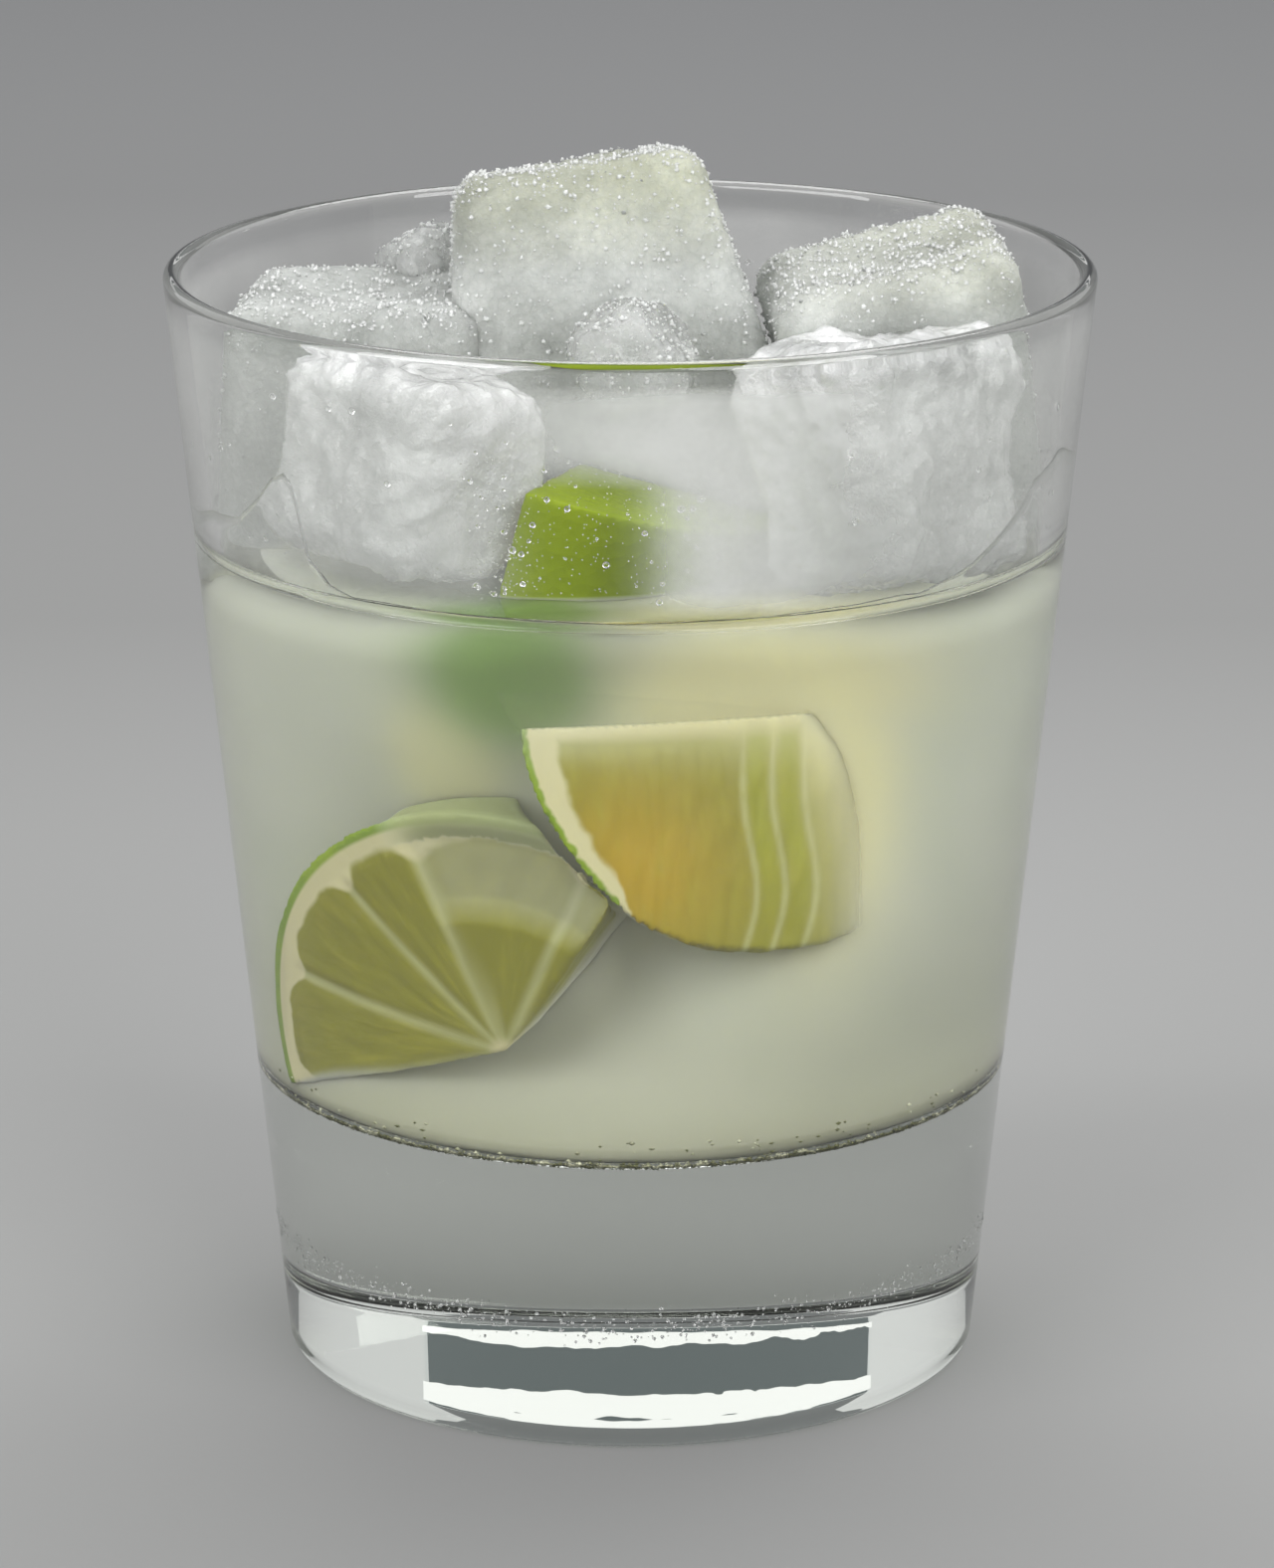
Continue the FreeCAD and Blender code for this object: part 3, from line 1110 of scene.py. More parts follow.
    def build_pulp(self, material: Material) -> Piece:
        """Makes the pulp and sugar that settle in the floor's corner, as grains pressed against the glass.

        Args:
            material: the pulp's finish.

        Returns:
            The piece.
        """
        cup, dice = self.cup, np.random.default_rng(61)
        corner = cup.floor_fillet
        middle = cup.inner_radius(cup.floor_top + corner) - corner
        points, faces = [], []
        for _ in range(self.pulp_grains):
            turn = dice.uniform(0, 2 * math.pi)
            tilt = math.radians(dice.normal(61, 5) if dice.random() < 0.93 else dice.uniform(5, 50))
            size = dice.uniform(*self.pulp_sizes)
            reach = corner + 0.22 - size * 0.4
            r, z = middle + reach * math.cos(tilt), cup.floor_top + corner - reach * math.sin(tilt)
            centre = np.array([r * math.sin(turn), -r * math.cos(turn), z])
            shape = dice.uniform(0.6, 1.0, 3) * size / 2
            shape[:2] *= 1.6
            start = len(points)
            points += (centre + GRAIN_FORM * shape).tolist()
            faces += [[start + k for k in face] for face in GRAIN_FACES]
        return dress(add_piece("settled_pulp", points, faces), material, "drink")

    def build_film(self, material: Material) -> Piece:
        """Makes the wet film, a thin closed sheet on the wall with a rounded upper edge.

        Args:
            material: the water's finish.

        Returns:
            The piece.
        """
        cup, columns, rows = self.cup, 600, 20
        degrees = np.linspace(-180, 180, columns, endpoint=False)
        turns = np.radians(degrees)
        heights = np.interp(degrees, self.film_turns, self.film_heights)
        round_wall = np.stack([np.cos(turns), np.sin(turns), 0 * turns], 1) * 40
        heights = heights + np.clip(heights, 0, 2) * 0.25 * Noise(23).at(round_wall, 6.0, 2)
        points = []
        for turn, height in zip(turns, heights):
            low, high = cup.level + 0.3, cup.level + self.meniscus * 0.7 + max(height, 0.02)
            for side, k in product((0, 1), range(rows)):
                share = k / (rows - 1)
                share = 1 - share if side else share
                z = low + (high - low) * share
                thick = self.film_thickness * (1 - share**8) ** 0.5 * min(1.0, 0.25 + height / 3)
                r = cup.inner_radius(z) + (self.into_wall if side else -thick)
                points.append((r * math.sin(turn), -r * math.cos(turn), z))
        piece = add_piece("wet_film", points, sleeve_faces(columns, 2 * rows))
        return dress(piece, material, "drink")


@dataclass
class LimeChunk:
    """A lime chunk: its fruit's place, size and cuts, so that its parts fall where they grow.

    The fruit's own Z runs along its axis, and its own X points to the cut that segments are counted from.
    Angles are degrees round that axis.
    """

    node: str
    half_length: float
    radius: float
    place: tuple[float, float, float]
    axis: tuple[float, float, float]
    first_cut: tuple[float, float, float]
    first_membrane: float
    ripe_at: tuple[float, float, float] = (0.0, 0.0, 60.0)
    ripe_reach: float = 6.0
    pared_from: float = 1e6
    slot: str = "lime_flesh"
    veiled_side: tuple[float, float, float] = (0.0, 0.0, 0.0)
    paler_top: float = 0.0
    ribs: tuple[float, ...] = ()
    bars: tuple[float, ...] = ()
    skinned_top: bool = False
    lost_from: float = 1e6
    lost_depth: float = 3.0
    measured_rind: bool = False
    narrowed: tuple[float, float, float] = (0.0, 0.0, 1.0)
    torn_from: float = 1e6
    torn_to: float = 150.0
    torn_beyond: float = 13.5
    torn_depth: float = 1.0
    scallop_mm: float = 1.8
    edge_strip: float = 0.0
    voxel: float = 0.38
    fullness: ClassVar[float] = 0.87
    segments_round: ClassVar[int] = 11
    rind_mm: ClassVar[float] = 2.6
    most_drawn: ClassVar[float] = 9.0

    @classmethod
    def pitch_radians(cls) -> float:
        """The angle that one segment takes."""
        return 2 * math.pi / cls.segments_round

    def axes(self) -> np.ndarray:
        """The fruit's own X, Y and Z directions, one row each.

        Returns:
            The three directions.
        """
        z = np.array(self.axis) / np.linalg.norm(self.axis)
        x = np.array(self.first_cut) - z * np.dot(self.first_cut, z)
        x /= np.linalg.norm(x)
        return np.stack([x, np.cross(z, x), z])

    def skin_distances(self, place: np.ndarray, way: np.ndarray, fruit: np.ndarray) -> np.ndarray:
        """Measures how far the skin lies from the cut, and the cut from the skin.

        Args:
            place: places in millimetres, one row each.
            way: the normals there.
            fruit: the same places in the fruit's own directions.

        Returns:
            A row with the distance from each place of skin to the cut, counted only on the veiled side, and a
            row with the distance from each place of cut to the skin. Both are zero elsewhere.
        """
        outwards = fruit / (self.radius**2, self.radius**2, self.half_length**2)
        outwards /= np.linalg.norm(outwards, axis=1)[:, None]
        skin = ((way @ self.axes().T) * outwards).sum(1) > 0.8
        side = np.clip((way @ np.array(self.veiled_side) - 0.1) / 0.25, 0, 1)
        apart = np.zeros((2, len(place)))
        for k, (near, far) in enumerate(((~skin, skin & (side > 0)), (skin, ~skin))):
            marks = np.nonzero(near)[0][::3]
            tree = KDTree(len(marks))
            for row, at in enumerate(marks):
                tree.insert(place[at], row)
            tree.balance()
            for at in np.nonzero(far)[0]:
                apart[k, at] = tree.find(place[at])[2]
        apart[0] *= side
        return apart

    def build(self, drink: Drink, material: Material) -> Piece:
        """Makes the chunk as a fine mesh with raised sacs and a pitted peel.

        Args:
            drink: the drink that it lies in.
            material: the fruit's finish.

        Returns:
            The piece.
        """
        piece = fine_copy(self.node, self.node + "_chunk", self.voxel, 1)
        cup, mesh = drink.cup, piece.data
        place, way = points_of(mesh), normals_of(mesh)
        centre = np.array(self.place) * (cup.level_radius, cup.level_radius, cup.level - cup.floor_top)
        centre[2] += cup.floor_top
        fruit = (place - centre) @ self.axes().T
        reach = np.hypot(fruit[:, 0], fruit[:, 1])
        power = 2 / self.fullness
        full = (np.abs(fruit[:, 2]) / self.half_length) ** power + (reach / self.radius) ** power
        depth = (1 - full ** (1 / power)) * self.radius
        hidden, inwards = self.skin_distances(place, way, fruit)
        if self.measured_rind:
            depth = inwards * 1.2 + 5 * np.clip((fruit[:, 2] - self.pared_from) / 3, 0, 1)
        if self.skinned_top:
            depth *= 1 - np.clip((way @ self.axes()[2] - 0.3) / 0.3, 0, 1)
        turn = np.arctan2(fruit[:, 1], fruit[:, 0])
        turn += 0.05 * np.sin(2 * turn + 1)
        middle, shift, width = (math.radians(v) for v in self.narrowed)
        turn += shift * np.exp(-(((turn - middle) / width) ** 2))
        segment = (turn - math.radians(self.first_membrane)) / self.pitch_radians()
        gap = np.abs(segment - np.round(segment)) * self.pitch_radians() * reach
        degrees = np.degrees(turn)
        torn = np.clip((degrees - self.torn_from) / 7, 0, 1) * np.clip((reach - self.torn_beyond) / 2.5, 0, 1)
        torn *= np.clip((self.torn_to - degrees) / 10, 0, 1) * np.clip((depth - 1.2) / 2, 0, 1)
        flesh = np.clip((depth - self.rind_mm) / 0.8, 0, 1) * np.clip((reach - 1.8) / 1.0, 0, 1)
        sacs = Noise(31).at(np.stack([segment * 5, reach * 0.22, fruit[:, 2] * 0.6], 1), 1.0, 2)
        relief = flesh * (0.22 * np.clip(gap / 1.2, 0, 1) + 0.16 * sacs)
        relief += (1 - np.clip(depth / 1.2, 0, 1)) * 0.12 * Noise(32).at(fruit, 7.0, 2)
        place = place + way * relief[:, None]
        facing = np.clip(-way @ self.axes()[2], 0, 1)
        pressed_in = torn * facing * (self.torn_depth + 0.2 * Noise(33).at(fruit, 5.0, 2))
        place += self.axes()[2] * pressed_in[:, None]
        drawn = hidden * np.clip((self.torn_from - degrees) / 10, 0, 1)
        place -= way * np.minimum(drawn * 0.95, self.most_drawn)[:, None]
        lost = np.clip((fruit[:, 2] - self.lost_from) / 8, 0, 1) ** 1.2
        place[:, :2] *= 1 - (self.lost_depth * lost**2 / np.hypot(place[:, 0], place[:, 1]))[:, None]
        move_points(mesh, place)
        carry(mesh, "fruit", fruit)
        carry(mesh, "depth", np.maximum(depth, 0))
        scallop = self.scallop_mm * np.exp(-((gap / 1.5) ** 2)) * np.clip((8 - depth) / 3, 0, 1)
        carry(mesh, "rind", np.maximum(depth - scallop, 0) - 20 * (depth < 0))
        carry(mesh, "segment", segment + 40)
        carry(mesh, "reach", reach)
        # painted light: the chunk above the drink gets a lighter peel
        carry(mesh, "sunny", np.full(len(reach), 0.75 * self.skinned_top))
        carry(mesh, "ripe", np.exp(-(((fruit - self.ripe_at) ** 2).sum(1)) / self.ripe_reach**2))
        along = fruit[:, 2]
        bend = 0.05 * reach * np.sin(reach * 0.3)
        none = np.zeros(len(along))
        ribs = sum((0.55 * np.exp(-(((along + bend - z) / 0.32) ** 2)) for z in self.ribs), none)
        ribs = ribs + 0.8 * np.exp(-((degrees / (self.edge_strip + 1e-6)) ** 4))
        carry(mesh, "rib", np.clip(ribs, 0, 1))
        bars = sum((np.exp(-(((along + bend - z) / 1.1) ** 4)) for z in self.bars), none)
        carry(mesh, "bar", bars * np.clip((place[:, 2] - cup.level + 34) / 10, 0.3, 1))
        behind = np.maximum(cup.inner_radius(place[:, 2]) - np.hypot(place[:, 0], place[:, 1]), 0)
        carry(mesh, "blur", 0.07 * behind * (place[:, 2] < cup.level))
        ending = np.clip((degrees - self.torn_from + 6) / 12, 0, 1) * (depth < self.rind_mm)
        under_top = place[:, 2].max() - place[:, 2]
        paler = self.paler_top * np.exp(-((under_top / 6.0) ** 2))
        haze = drink.haze_share(place)
        for share in (lost, 0.35 * torn * facing, 0.7 * ending, paler):
            haze = np.maximum(haze, share)
        # veil also darkens the cloud colour on that skin, a painted shade
        veil = np.maximum(np.clip((hidden - 0.5) / 0.7, 0, 1), 0.9 * ending)
        carry(mesh, "veil", veil)
        fade = np.clip((fruit[:, 2] - self.lost_from - 1.5) / 5, 0, 1) ** 1.3
        turned_up = np.clip(7 - under_top, 0, 1) * np.clip((0.85 + way @ self.axes()[1]) / 0.2, 0, 1)
        unseen = np.maximum(turned_up, veil) * (self.paler_top > 0)
        carry(mesh, "fade", np.maximum(fade, 0.96 * unseen))
        carry(mesh, "haze", np.maximum(haze * (1 - 0.75 * bars), veil))
        cream = drink.tinge(wall_turns(place), place[:, 2], drink.cream_patches)
        carry(mesh, "cream", cream * (place[:, 2] < cup.level))
        return dress(piece, material, self.slot, self.node)


class Skin(Enum):
    """How far an ice piece's surface has gone from frost to melt."""

    FROSTED = "frosted_tray_ice"
    WET = "melting_tray_ice"
    CRUMBLED = "crumbled_ice"


@dataclass
class IcePiece:
    """A piece of ice: its node, its skin, and how rough its surface is."""

    node: str
    skin: Skin
    voxel: float = 0.6
    lumps: float = 0.5
    crust: float = 0.3
    warm_height: float = 1e6
    seed: int = 41

    def build(self, drink: Drink, material: Material) -> Piece:
        """Makes the piece with melted hollows, a rough crust, and loose frost at its edges.

        Args:
            drink: the drink that it floats in.
            material: the finish for its skin.

        Returns:
            The piece.
        """
        piece = fine_copy(self.node, self.node + "_ice", self.voxel, 3)
        mesh = piece.data
        place, way = points_of(mesh), normals_of(mesh)
        lumps = Noise(self.seed).at(place, 9.0, 2) * self.lumps
        crust = np.abs(Noise(self.seed + 1).at(place, 2.4, 3)) * self.crust
        crust += np.clip(Noise(self.seed + 2).at(place, 1.7, 1) - 0.15, 0, 1) * self.crust
        middle = (place.max(0) + place.min(0)) / 2
        half = (place.max(0) - place.min(0)) / 2
        corner = np.clip((np.sort(np.abs(place - middle) / half, axis=1)[:, 1] - 0.72) / 0.25, 0, 1)
        place = place + way * (lumps + crust * (0.4 + 1.3 * corner))[:, None]
        move_points(mesh, place)
        carry(mesh, "haze", drink.haze_share(place))
        carry(mesh, "warm", np.clip((place[:, 2] - self.warm_height) / 10, 0, 1) * 0.8)
        return dress(piece, material, "ice", self.node)


@dataclass
class FrostGrains:
    """Loose frost crystals that crumble off the dry ice, thickest along its upper edges."""

    counts: tuple[tuple[str, int], ...] = (
        *(("ice_centre", 5400), ("ice_left", 2600), ("ice_right", 3600)),
        *(("ice_chip_back", 500), ("ice_chip_front", 700)),
    )
    smallest: float = 0.2
    largest: float = 0.85
    bare_edge: float = 0.72

    def build(self, cup: Tumbler, material: Material) -> Piece:
        """Makes the crystals as one mesh of small octahedra that sit half in the ice.

        Args:
            cup: the glass, whose level says where the ice is dry.
            material: the crystals' finish.

        Returns:
            The piece.
        """
        dice = np.random.default_rng(81)
        points, faces = [], []
        for node, count in self.counts:
            mesh = bpy.data.objects[node + "_ice"].data
            place, way = points_of(mesh), normals_of(mesh)
            half = (place.max(0) - place.min(0)) / 2
            from_middle = np.abs(place - (place.max(0) + place.min(0)) / 2) / half
            edge = np.clip((np.sort(from_middle, axis=1)[:, 1] - self.bare_edge) / (1 - self.bare_edge), 0, 1)
            weight = (0.12 + edge**2) * (place[:, 2] > cup.level + 8) * (0.4 + np.clip(way[:, 2], 0, 1))
            chosen = dice.choice(len(place), count, p=weight / weight.sum())
            size = self.smallest + (self.largest - self.smallest) * dice.random(count) ** 3
            turned = np.linalg.qr(dice.normal(size=(count, 3, 3)))[0]
            shape = dice.uniform(0.55, 1.0, (count, 3)) * size[:, None] / 2
            corners = np.einsum("kj,nj,nji->nki", np.array(GRAIN_FORM), shape, turned)
            middle = place[chosen] + way[chosen] * (0.2 * size)[:, None]
            start = len(points)
            points += (middle[:, None] + corners).reshape(-1, 3).tolist()
            starts = range(start, len(points), len(GRAIN_FORM))
            faces += [[first + c for c in face] for first in starts for face in GRAIN_FACES]
        return dress(add_piece("frost_grains", points, faces), material, "ice")


@dataclass
class Condensation:
    """What the cold leaves on the glass: a mist and drops inside above the drink, and dew round the base.

    The mist is thickest round one turn and wiped off at another, both in radians. A crowd of drops is a
    middle turn and a spread in degrees, and the dew round the base a middle height and a spread.
    """

    cup: Tumbler
    mist_thickest: float = 0.15
    mist_spread: float = 0.27
    mist_least: float = 0.24
    mist_most: float = 0.9
    wiped_turn: float = -0.11
    wiped_spread: float = 0.22
    wiped_height: float = 18.0
    drops: int = 2000
    largest: float = 0.85
    smallest: float = 0.13
    rarity_of_large: int = 22
    crowded_share: float = 0.4
    crowds: tuple[tuple[float, float], ...] = ((-17.0, 3.0), (8.0, 12.0))
    flatness: float = 0.62
    base_drops: int = 1100
    base_largest: float = 0.43
    base_turn: float = 1.4
    base_height: tuple[float, float] = (13.0, 0.8)

    def build_mist(self, material: Material) -> Piece:
        """Makes the veil of mist, a thin closed sleeve on the inner wall.

        Args:
            material: the mist's finish.

        Returns:
            The piece.
        """
        cup, columns, rows = self.cup, 180, 26
        low, high = cup.level + 1.6, cup.height - 2.2
        points, veil = [], []
        for c, side, k in product(range(columns), (0, 1), range(rows)):
            turn = 2 * math.pi * c / columns
            share = 1 - k / (rows - 1) if side else k / (rows - 1)
            z = low + (high - low) * share
            r = cup.inner_radius(z) + (0.05 if side else -0.03)
            points.append((r * math.sin(turn), -r * math.cos(turn), z))
            aside = math.remainder(turn, math.tau)
            wiped = math.exp(-(((aside - self.wiped_turn) / self.wiped_spread) ** 4))
            wiped *= max(0.0, min(1.0, (cup.level + self.wiped_height - z) / 4))
            crowd = math.exp(-(((aside - self.mist_thickest) / self.mist_spread) ** 2))
            thick = self.mist_least + (self.mist_most - self.mist_least) * crowd
            fade = min(1.0, share * 8, (1 - share) * 14) * (1 - 0.45 * share**4)
            veil.append((1 - wiped) * thick * fade)
        piece = add_piece("wall_mist", points, sleeve_faces(columns, 2 * rows))
        carry(piece.data, "veil", np.array(veil))
        return dress(piece, material, "drink")

    def build_drops(self, material: Material) -> Piece:
        """Makes the drops as one mesh of flattened caps that reach into the wall.

        Args:
            material: the water's finish.

        Returns:
            The piece.
        """
        cup, dice = self.cup, np.random.default_rng(51)
        sides, rings = 8, 3
        points, faces = [], []
        for k in range(self.drops + self.base_drops):
            outside = k >= self.drops
            turn = dice.uniform(-math.pi, math.pi)
            if dice.random() < self.crowded_share:
                turn = math.radians(dice.normal(*self.crowds[0 if dice.random() < 0.5 else 1]))
            z = cup.level + 3 + (cup.height - cup.level - 8) * dice.beta(1.4, 1.8)
            size = self.smallest + (self.largest - self.smallest) * dice.random() ** self.rarity_of_large
            if outside:
                turn = dice.uniform(-self.base_turn, self.base_turn)
                z = dice.normal(*self.base_height)
                size = self.smallest + (self.base_largest - self.smallest) * dice.random() ** 3
            wide = size / 2
            outwards = Vector((math.sin(turn), -math.cos(turn), 0))
            sideways = Vector((math.cos(turn), math.sin(turn), 0))
            upwards = Vector((0, 0, 1))
            middle = outwards * (cup.outer_radius(z) if outside else cup.inner_radius(z)) + upwards * z
            if outside:
                outwards, sideways = -outwards, -sideways
            sag = 1 + 0.5 * max(0, size - 0.7)
            start = len(points)
            for ring in range(rings):
                tilt = math.pi / 2 * ring / rings
                r, rise = wide * math.cos(tilt), self.flatness * wide * math.sin(tilt)
                for s in range(sides):
                    a = 2 * math.pi * s / sides
                    p = middle + sideways * (r * math.cos(a)) + upwards * (r * math.sin(a) * sag)
                    points.append(tuple(p - outwards * rise))
            points.append(tuple(middle - outwards * self.flatness * wide))
            points.append(tuple(middle + outwards * 0.12))
            top, back = len(points) - 2, len(points) - 1
            for s in range(sides):
                n = (s + 1) % sides
                for ring in range(rings - 1):
                    a, b = start + ring * sides, start + (ring + 1) * sides
                    faces.append((a + s, b + s, b + n, a + n))
                last = start + (rings - 1) * sides
                faces.append((last + s, top, last + n))
                faces.append((start + n, back, start + s))
        return dress(add_piece("condensation_drops", points, faces), material, "drink")


@dataclass
class Studio:
    """The grey paper sweep, the soft lamps and the camera. None of it belongs to the object."""

    sweep_radius: float = 1400.0
    sweep_curve: float = 500.0
    sweep_height: float = 420.0
    camera_distance: float = 576.4
    camera_height: float = 225.1
    camera_pitch: float = 16.34
    camera_aside: float = 0.65
    lens: float = 140.66
    band_shine: float = 1.45

    def build_sweep(self, material: Material) -> Piece:
        """Makes the floor and, round it, the paper curving up to a low wall.

        Args:
            material: the paper's finish.

        Returns:
            The sweep.
        """
        wall = self.sweep_radius + self.sweep_curve
        line = span((0, 0), (self.sweep_radius, 0), 12)
        line += arc((self.sweep_radius, self.sweep_curve), self.sweep_curve, -84, -10, 12)
        line = [p for p in line if p[1] <= self.sweep_height] + [(wall, self.sweep_height)]
        points, faces = lathe(line + [(0, self.sweep_height)], 96)
        lid = len(points) - 1
        piece = add_piece("paper_sweep", points, [tuple(reversed(f)) for f in faces if lid not in f])
        piece.location.z = -0.05 * MM
        piece.data.materials.append(material)
        return piece

    def add_panel(
        self, name: str, turn: float, rise: float, distance: float, size: tuple[float, float], glow: float
    ) -> None:
        """Hangs one soft panel that faces the drink.

        Args:
            name: the lamp's name.
            turn: degrees from straight behind, growing to the right.
            rise: degrees above the floor.
            distance: millimetres from the drink.
            size: its width and height in millimetres.
            glow: its brightness, where 1 shows as white.
        """
        data = bpy.data.lights.new(name, "AREA")
        data.shape, data.size, data.size_y = "RECTANGLE", size[0] * MM, size[1] * MM
        data.energy = glow * math.pi * data.size * data.size_y
        lamp = place_object(name, data)
        a, e = math.radians(turn), math.radians(rise)
        way = Vector((math.sin(a) * math.cos(e), math.cos(a) * math.cos(e), math.sin(e)))
        aim = Vector((0, 0, 10 * MM))
        lamp.location = aim + way * distance * MM
        lamp.rotation_mode = "QUATERNION"
        lamp.rotation_quaternion = way.to_track_quat("Z", "Y")
        lamp.visible_camera = False

    def add_band(self, name: str, near: float, low: float, high: float, glow: str, ragged: float) -> None:
        """Bends one upright band round the back of the drink, seen only in the glass.

        Args:
            name: the band's name.
            near: millimetres from the drink.
            low: the height of its lower edge.
            high: the height of its upper edge.
            glow: the colour that it shows.
            ragged: how far its edges wander, in millimetres.
        """
        spans = 480
        turns = np.radians(np.linspace(-32.5, 26, spans + 1))
        rows = []
        for edge, seed in ((low, 71), (high, 72)):
            worn = Noise(seed).at(np.stack([turns * 100, 0 * turns, 0 * turns + low], 1), 8.0, 3)
            rows += [(near * math.sin(t), near * math.cos(t), edge + w) for t, w in zip(turns, worn * ragged)]
        above = spans + 1
        band = add_piece(name, rows, [(k, k + 1, above + k + 1, above + k) for k in range(spans)])
        material, tree = new_tree(name)
        shine = add_node(tree, "Emission", {"Color": glow, "Strength": self.band_shine})
        add_node(tree, "OutputMaterial", {"Surface": shine})
        band.data.materials.append(material)
        band.visible_camera = band.visible_diffuse = band.visible_shadow = band.visible_volume_scatter = False

    def build_lamps(self) -> None:
        """Hangs the lamps: one above, two behind and two in front, with the bands that the base mirrors."""
        self.add_panel("overhead_softbox", 12, 66, 760, (620, 460), 3.9)
        self.add_panel("back_right_panel", 47, 30, 760, (568, 420), 0.64)
        self.add_panel("back_left_panel", -52, 30, 760, (520, 420), 0.72)
        self.add_panel("front_fill_right", 142, 30, 1000, (800, 700), 6.0)
        self.add_panel("front_fill_left", -132, 28, 1000, (700, 700), 6.0)
        self.add_band("bar", 700, 279.0, 285.4, "#FFFFFF", 1.0)
        self.add_band("upper_bar", 700, 256.5, 267.6, "#FFFFFF", 1.0)
        self.add_band("black_card", 860, 306.0, 368.0, "#62696B", 0.0)
        world = bpy.data.worlds.new("dim_studio")
        bpy.context.scene.world = world
        world.use_nodes = True
        sky = world.node_tree.nodes["Background"].inputs
        sky["Color"].default_value, sky["Strength"].default_value = linear("#8A8C8E"), 1.0

    def build_camera(self) -> None:
        """Stands the camera in front, looking slightly down on the drink."""
        data = bpy.data.cameras.new("camera")
        data.lens, data.sensor_width = self.lens, 36
        camera = place_object("camera", data)
        camera.location = (self.camera_aside * MM, -self.camera_distance * MM, self.camera_height * MM)
        camera.rotation_euler = (math.radians(90 - self.camera_pitch), 0, 0)
        bpy.context.scene.camera = camera

    def set_render(self) -> None:
        """Leaves colours plain, and lets light pass all the clear layers."""
        scene = bpy.context.scene
        scene.view_settings.view_transform = "Standard"
        cycles = scene.cycles
        cycles.max_bounces, cycles.transmission_bounces, cycles.glossy_bounces = 22, 18, 6
        cycles.transparent_max_bounces, cycles.volume_bounces, cycles.diffuse_bounces = 20, 6, 4
        cycles.caustics_reflective = cycles.caustics_refractive = False


LIMES = [
    LimeChunk(
        node="lime_middle",
        half_length=22.0,
        radius=22.5,
        place=(0.306, -0.612, 0.804),
        axis=(0.90, 0.43, -0.03),
        first_cut=(0.05, -0.14, -0.99),
        first_membrane=14.0,
        ripe_at=(14.0, 0.0, -14.0),
        ripe_reach=9.0,
        pared_from=-15.5,
        veiled_side=(-0.6, -0.78, 0.15),
        paler_top=0.6,
        measured_rind=True,
        ribs=(-3.1, -0.4, 2.6),
        bars=(-1.75, 1.1),
        lost_from=2.5,
    ),
    LimeChunk(
        node="lime_lower",
        half_length=25.0,
        radius=24.8,
        place=(-0.285, -0.672, 0.182),
        axis=(0.422, 0.884, 0.201),
        first_cut=(-0.87, 0.34, -0.36),
        first_membrane=2.8,
        narrowed=(88.0, 12.9, 14.0),
        torn_from=98.0,
        edge_strip=5.0,
        veiled_side=(0.0, -0.45, 0.89),
    ),
    LimeChunk(
        node="lime_upper",
        half_length=26.0,
        radius=20.0,
        place=(-0.115, -0.16, 1.112),
        axis=(0.26, 0.0, 0.966),
        first_cut=(-0.28, -0.96, 0.08),
        first_membrane=10.0,
        slot="lime_peel",
        skinned_top=True,
    ),
]
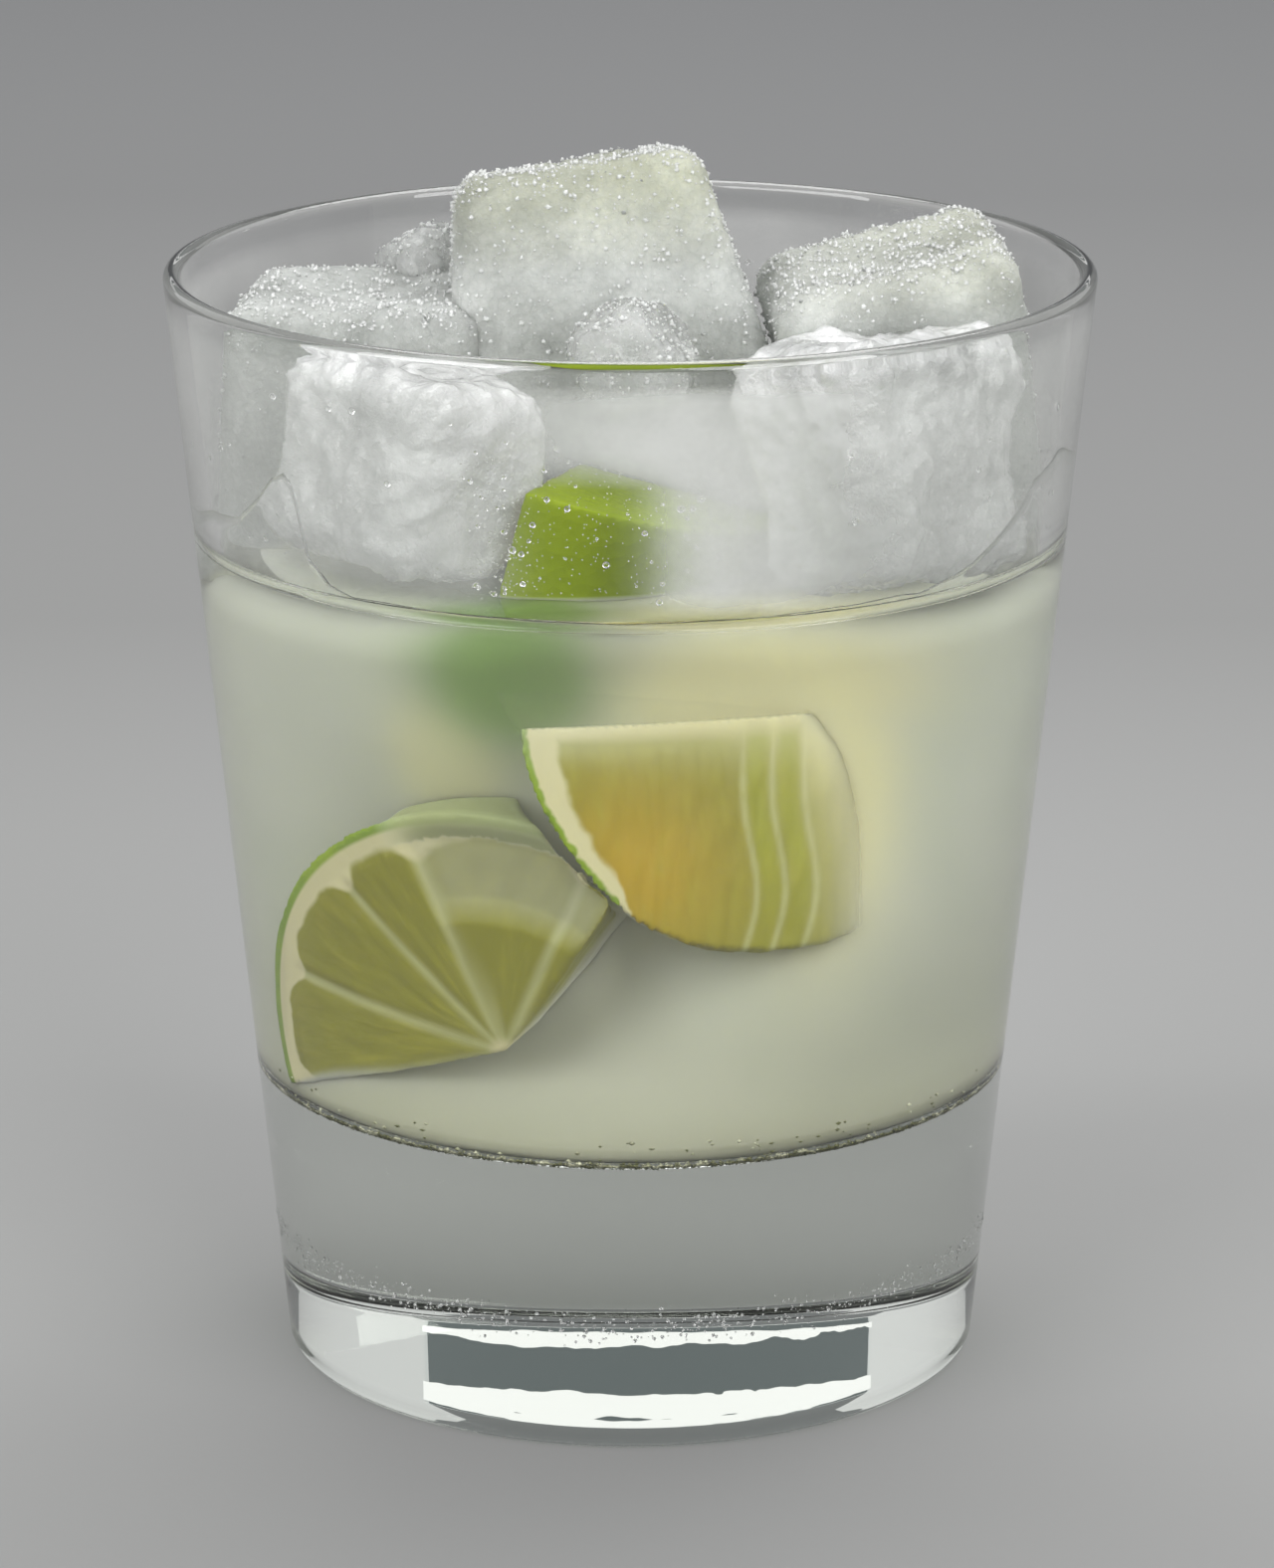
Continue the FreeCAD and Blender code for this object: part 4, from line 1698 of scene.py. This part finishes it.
ICE = [
    IcePiece("ice_centre", Skin.FROSTED, voxel=0.42, lumps=0.15, crust=0.75, warm_height=108.0, seed=41),
    IcePiece("ice_left", Skin.FROSTED, voxel=0.4, lumps=0.15, crust=0.6, seed=43),
    IcePiece("ice_right", Skin.FROSTED, voxel=0.42, lumps=0.15, crust=0.75, warm_height=104.0, seed=45),
    IcePiece("ice_front_left", Skin.WET, voxel=0.45, lumps=1.2, crust=1.1, seed=47),
    IcePiece("ice_front_right", Skin.WET, voxel=0.45, lumps=1.5, crust=1.3, seed=49),
    IcePiece("ice_chip_back", Skin.CRUMBLED, voxel=0.26, lumps=0.8, crust=1.1, seed=51),
    IcePiece("ice_chip_front", Skin.CRUMBLED, voxel=0.26, lumps=0.9, crust=1.2, seed=53),
]
SKINS = {
    Skin.FROSTED: FreezerIce(),
    Skin.WET: FreezerIce(
        frost=0.62,
        roughness=0.04,
        rime_roughness=0.3,
        melt_coat=1.0,
        grain_mm=1.6,
        crystal_mm=2.6,
        crystal_shade=0.2,
        frost_white="#FFFFFD",
        crystal_gap_painted_shade="#DCDFDD",
        glow_mm=1.5,
        through=0.12,
    ),
    Skin.CRUMBLED: FreezerIce(
        frost=0.4,
        roughness=0.02,
        rime_roughness=0.15,
        melt_coat=1.0,
        grain_mm=0.9,
        crystal_mm=1.8,
        frost_white="#FCFDFB",
    ),
}
HOAR_FROST = FreezerIce(
    frost=1.7,
    rime_roughness=0.1,
    melt_coat=1.0,
    frost_white="#F1F2F0",
    crystal_gap_painted_shade="#E2E4E3",
    glow_mm=0.4,
    through=0.4,
)


def main() -> None:
    """Builds the studio and every piece of the drink, in order."""
    logging.basicConfig(level=logging.INFO, format="%(name)s %(message)s", stream=sys.stdout)
    studio = Studio()
    studio.build_sweep(StudioPaper().material())
    studio.build_lamps()
    studio.build_camera()
    studio.set_render()
    cup = Tumbler()
    cup.build(PressedGlass().material())
    drink = Drink(cup)
    drink.build_body(CloudyJuice().material())
    drink.build_haze(JuiceHaze().material())
    drink.build_pulp(JuicePulp().material())
    water = StillWater().material()
    drink.build_film(water)
    fruit = LimeFruit().material()
    for chunk in LIMES:
        chunk.build(drink, fruit)
    skins = {skin: finish.material(skin.value) for skin, finish in SKINS.items()}
    for ice in ICE:
        ice.build(drink, skins[ice.skin])
    FrostGrains().build(cup, HOAR_FROST.material("hoar_frost_crystals"))
    cold = Condensation(cup)
    cold.build_mist(ColdMist().material())
    cold.build_drops(water)


if __name__ == "__main__":
    main()
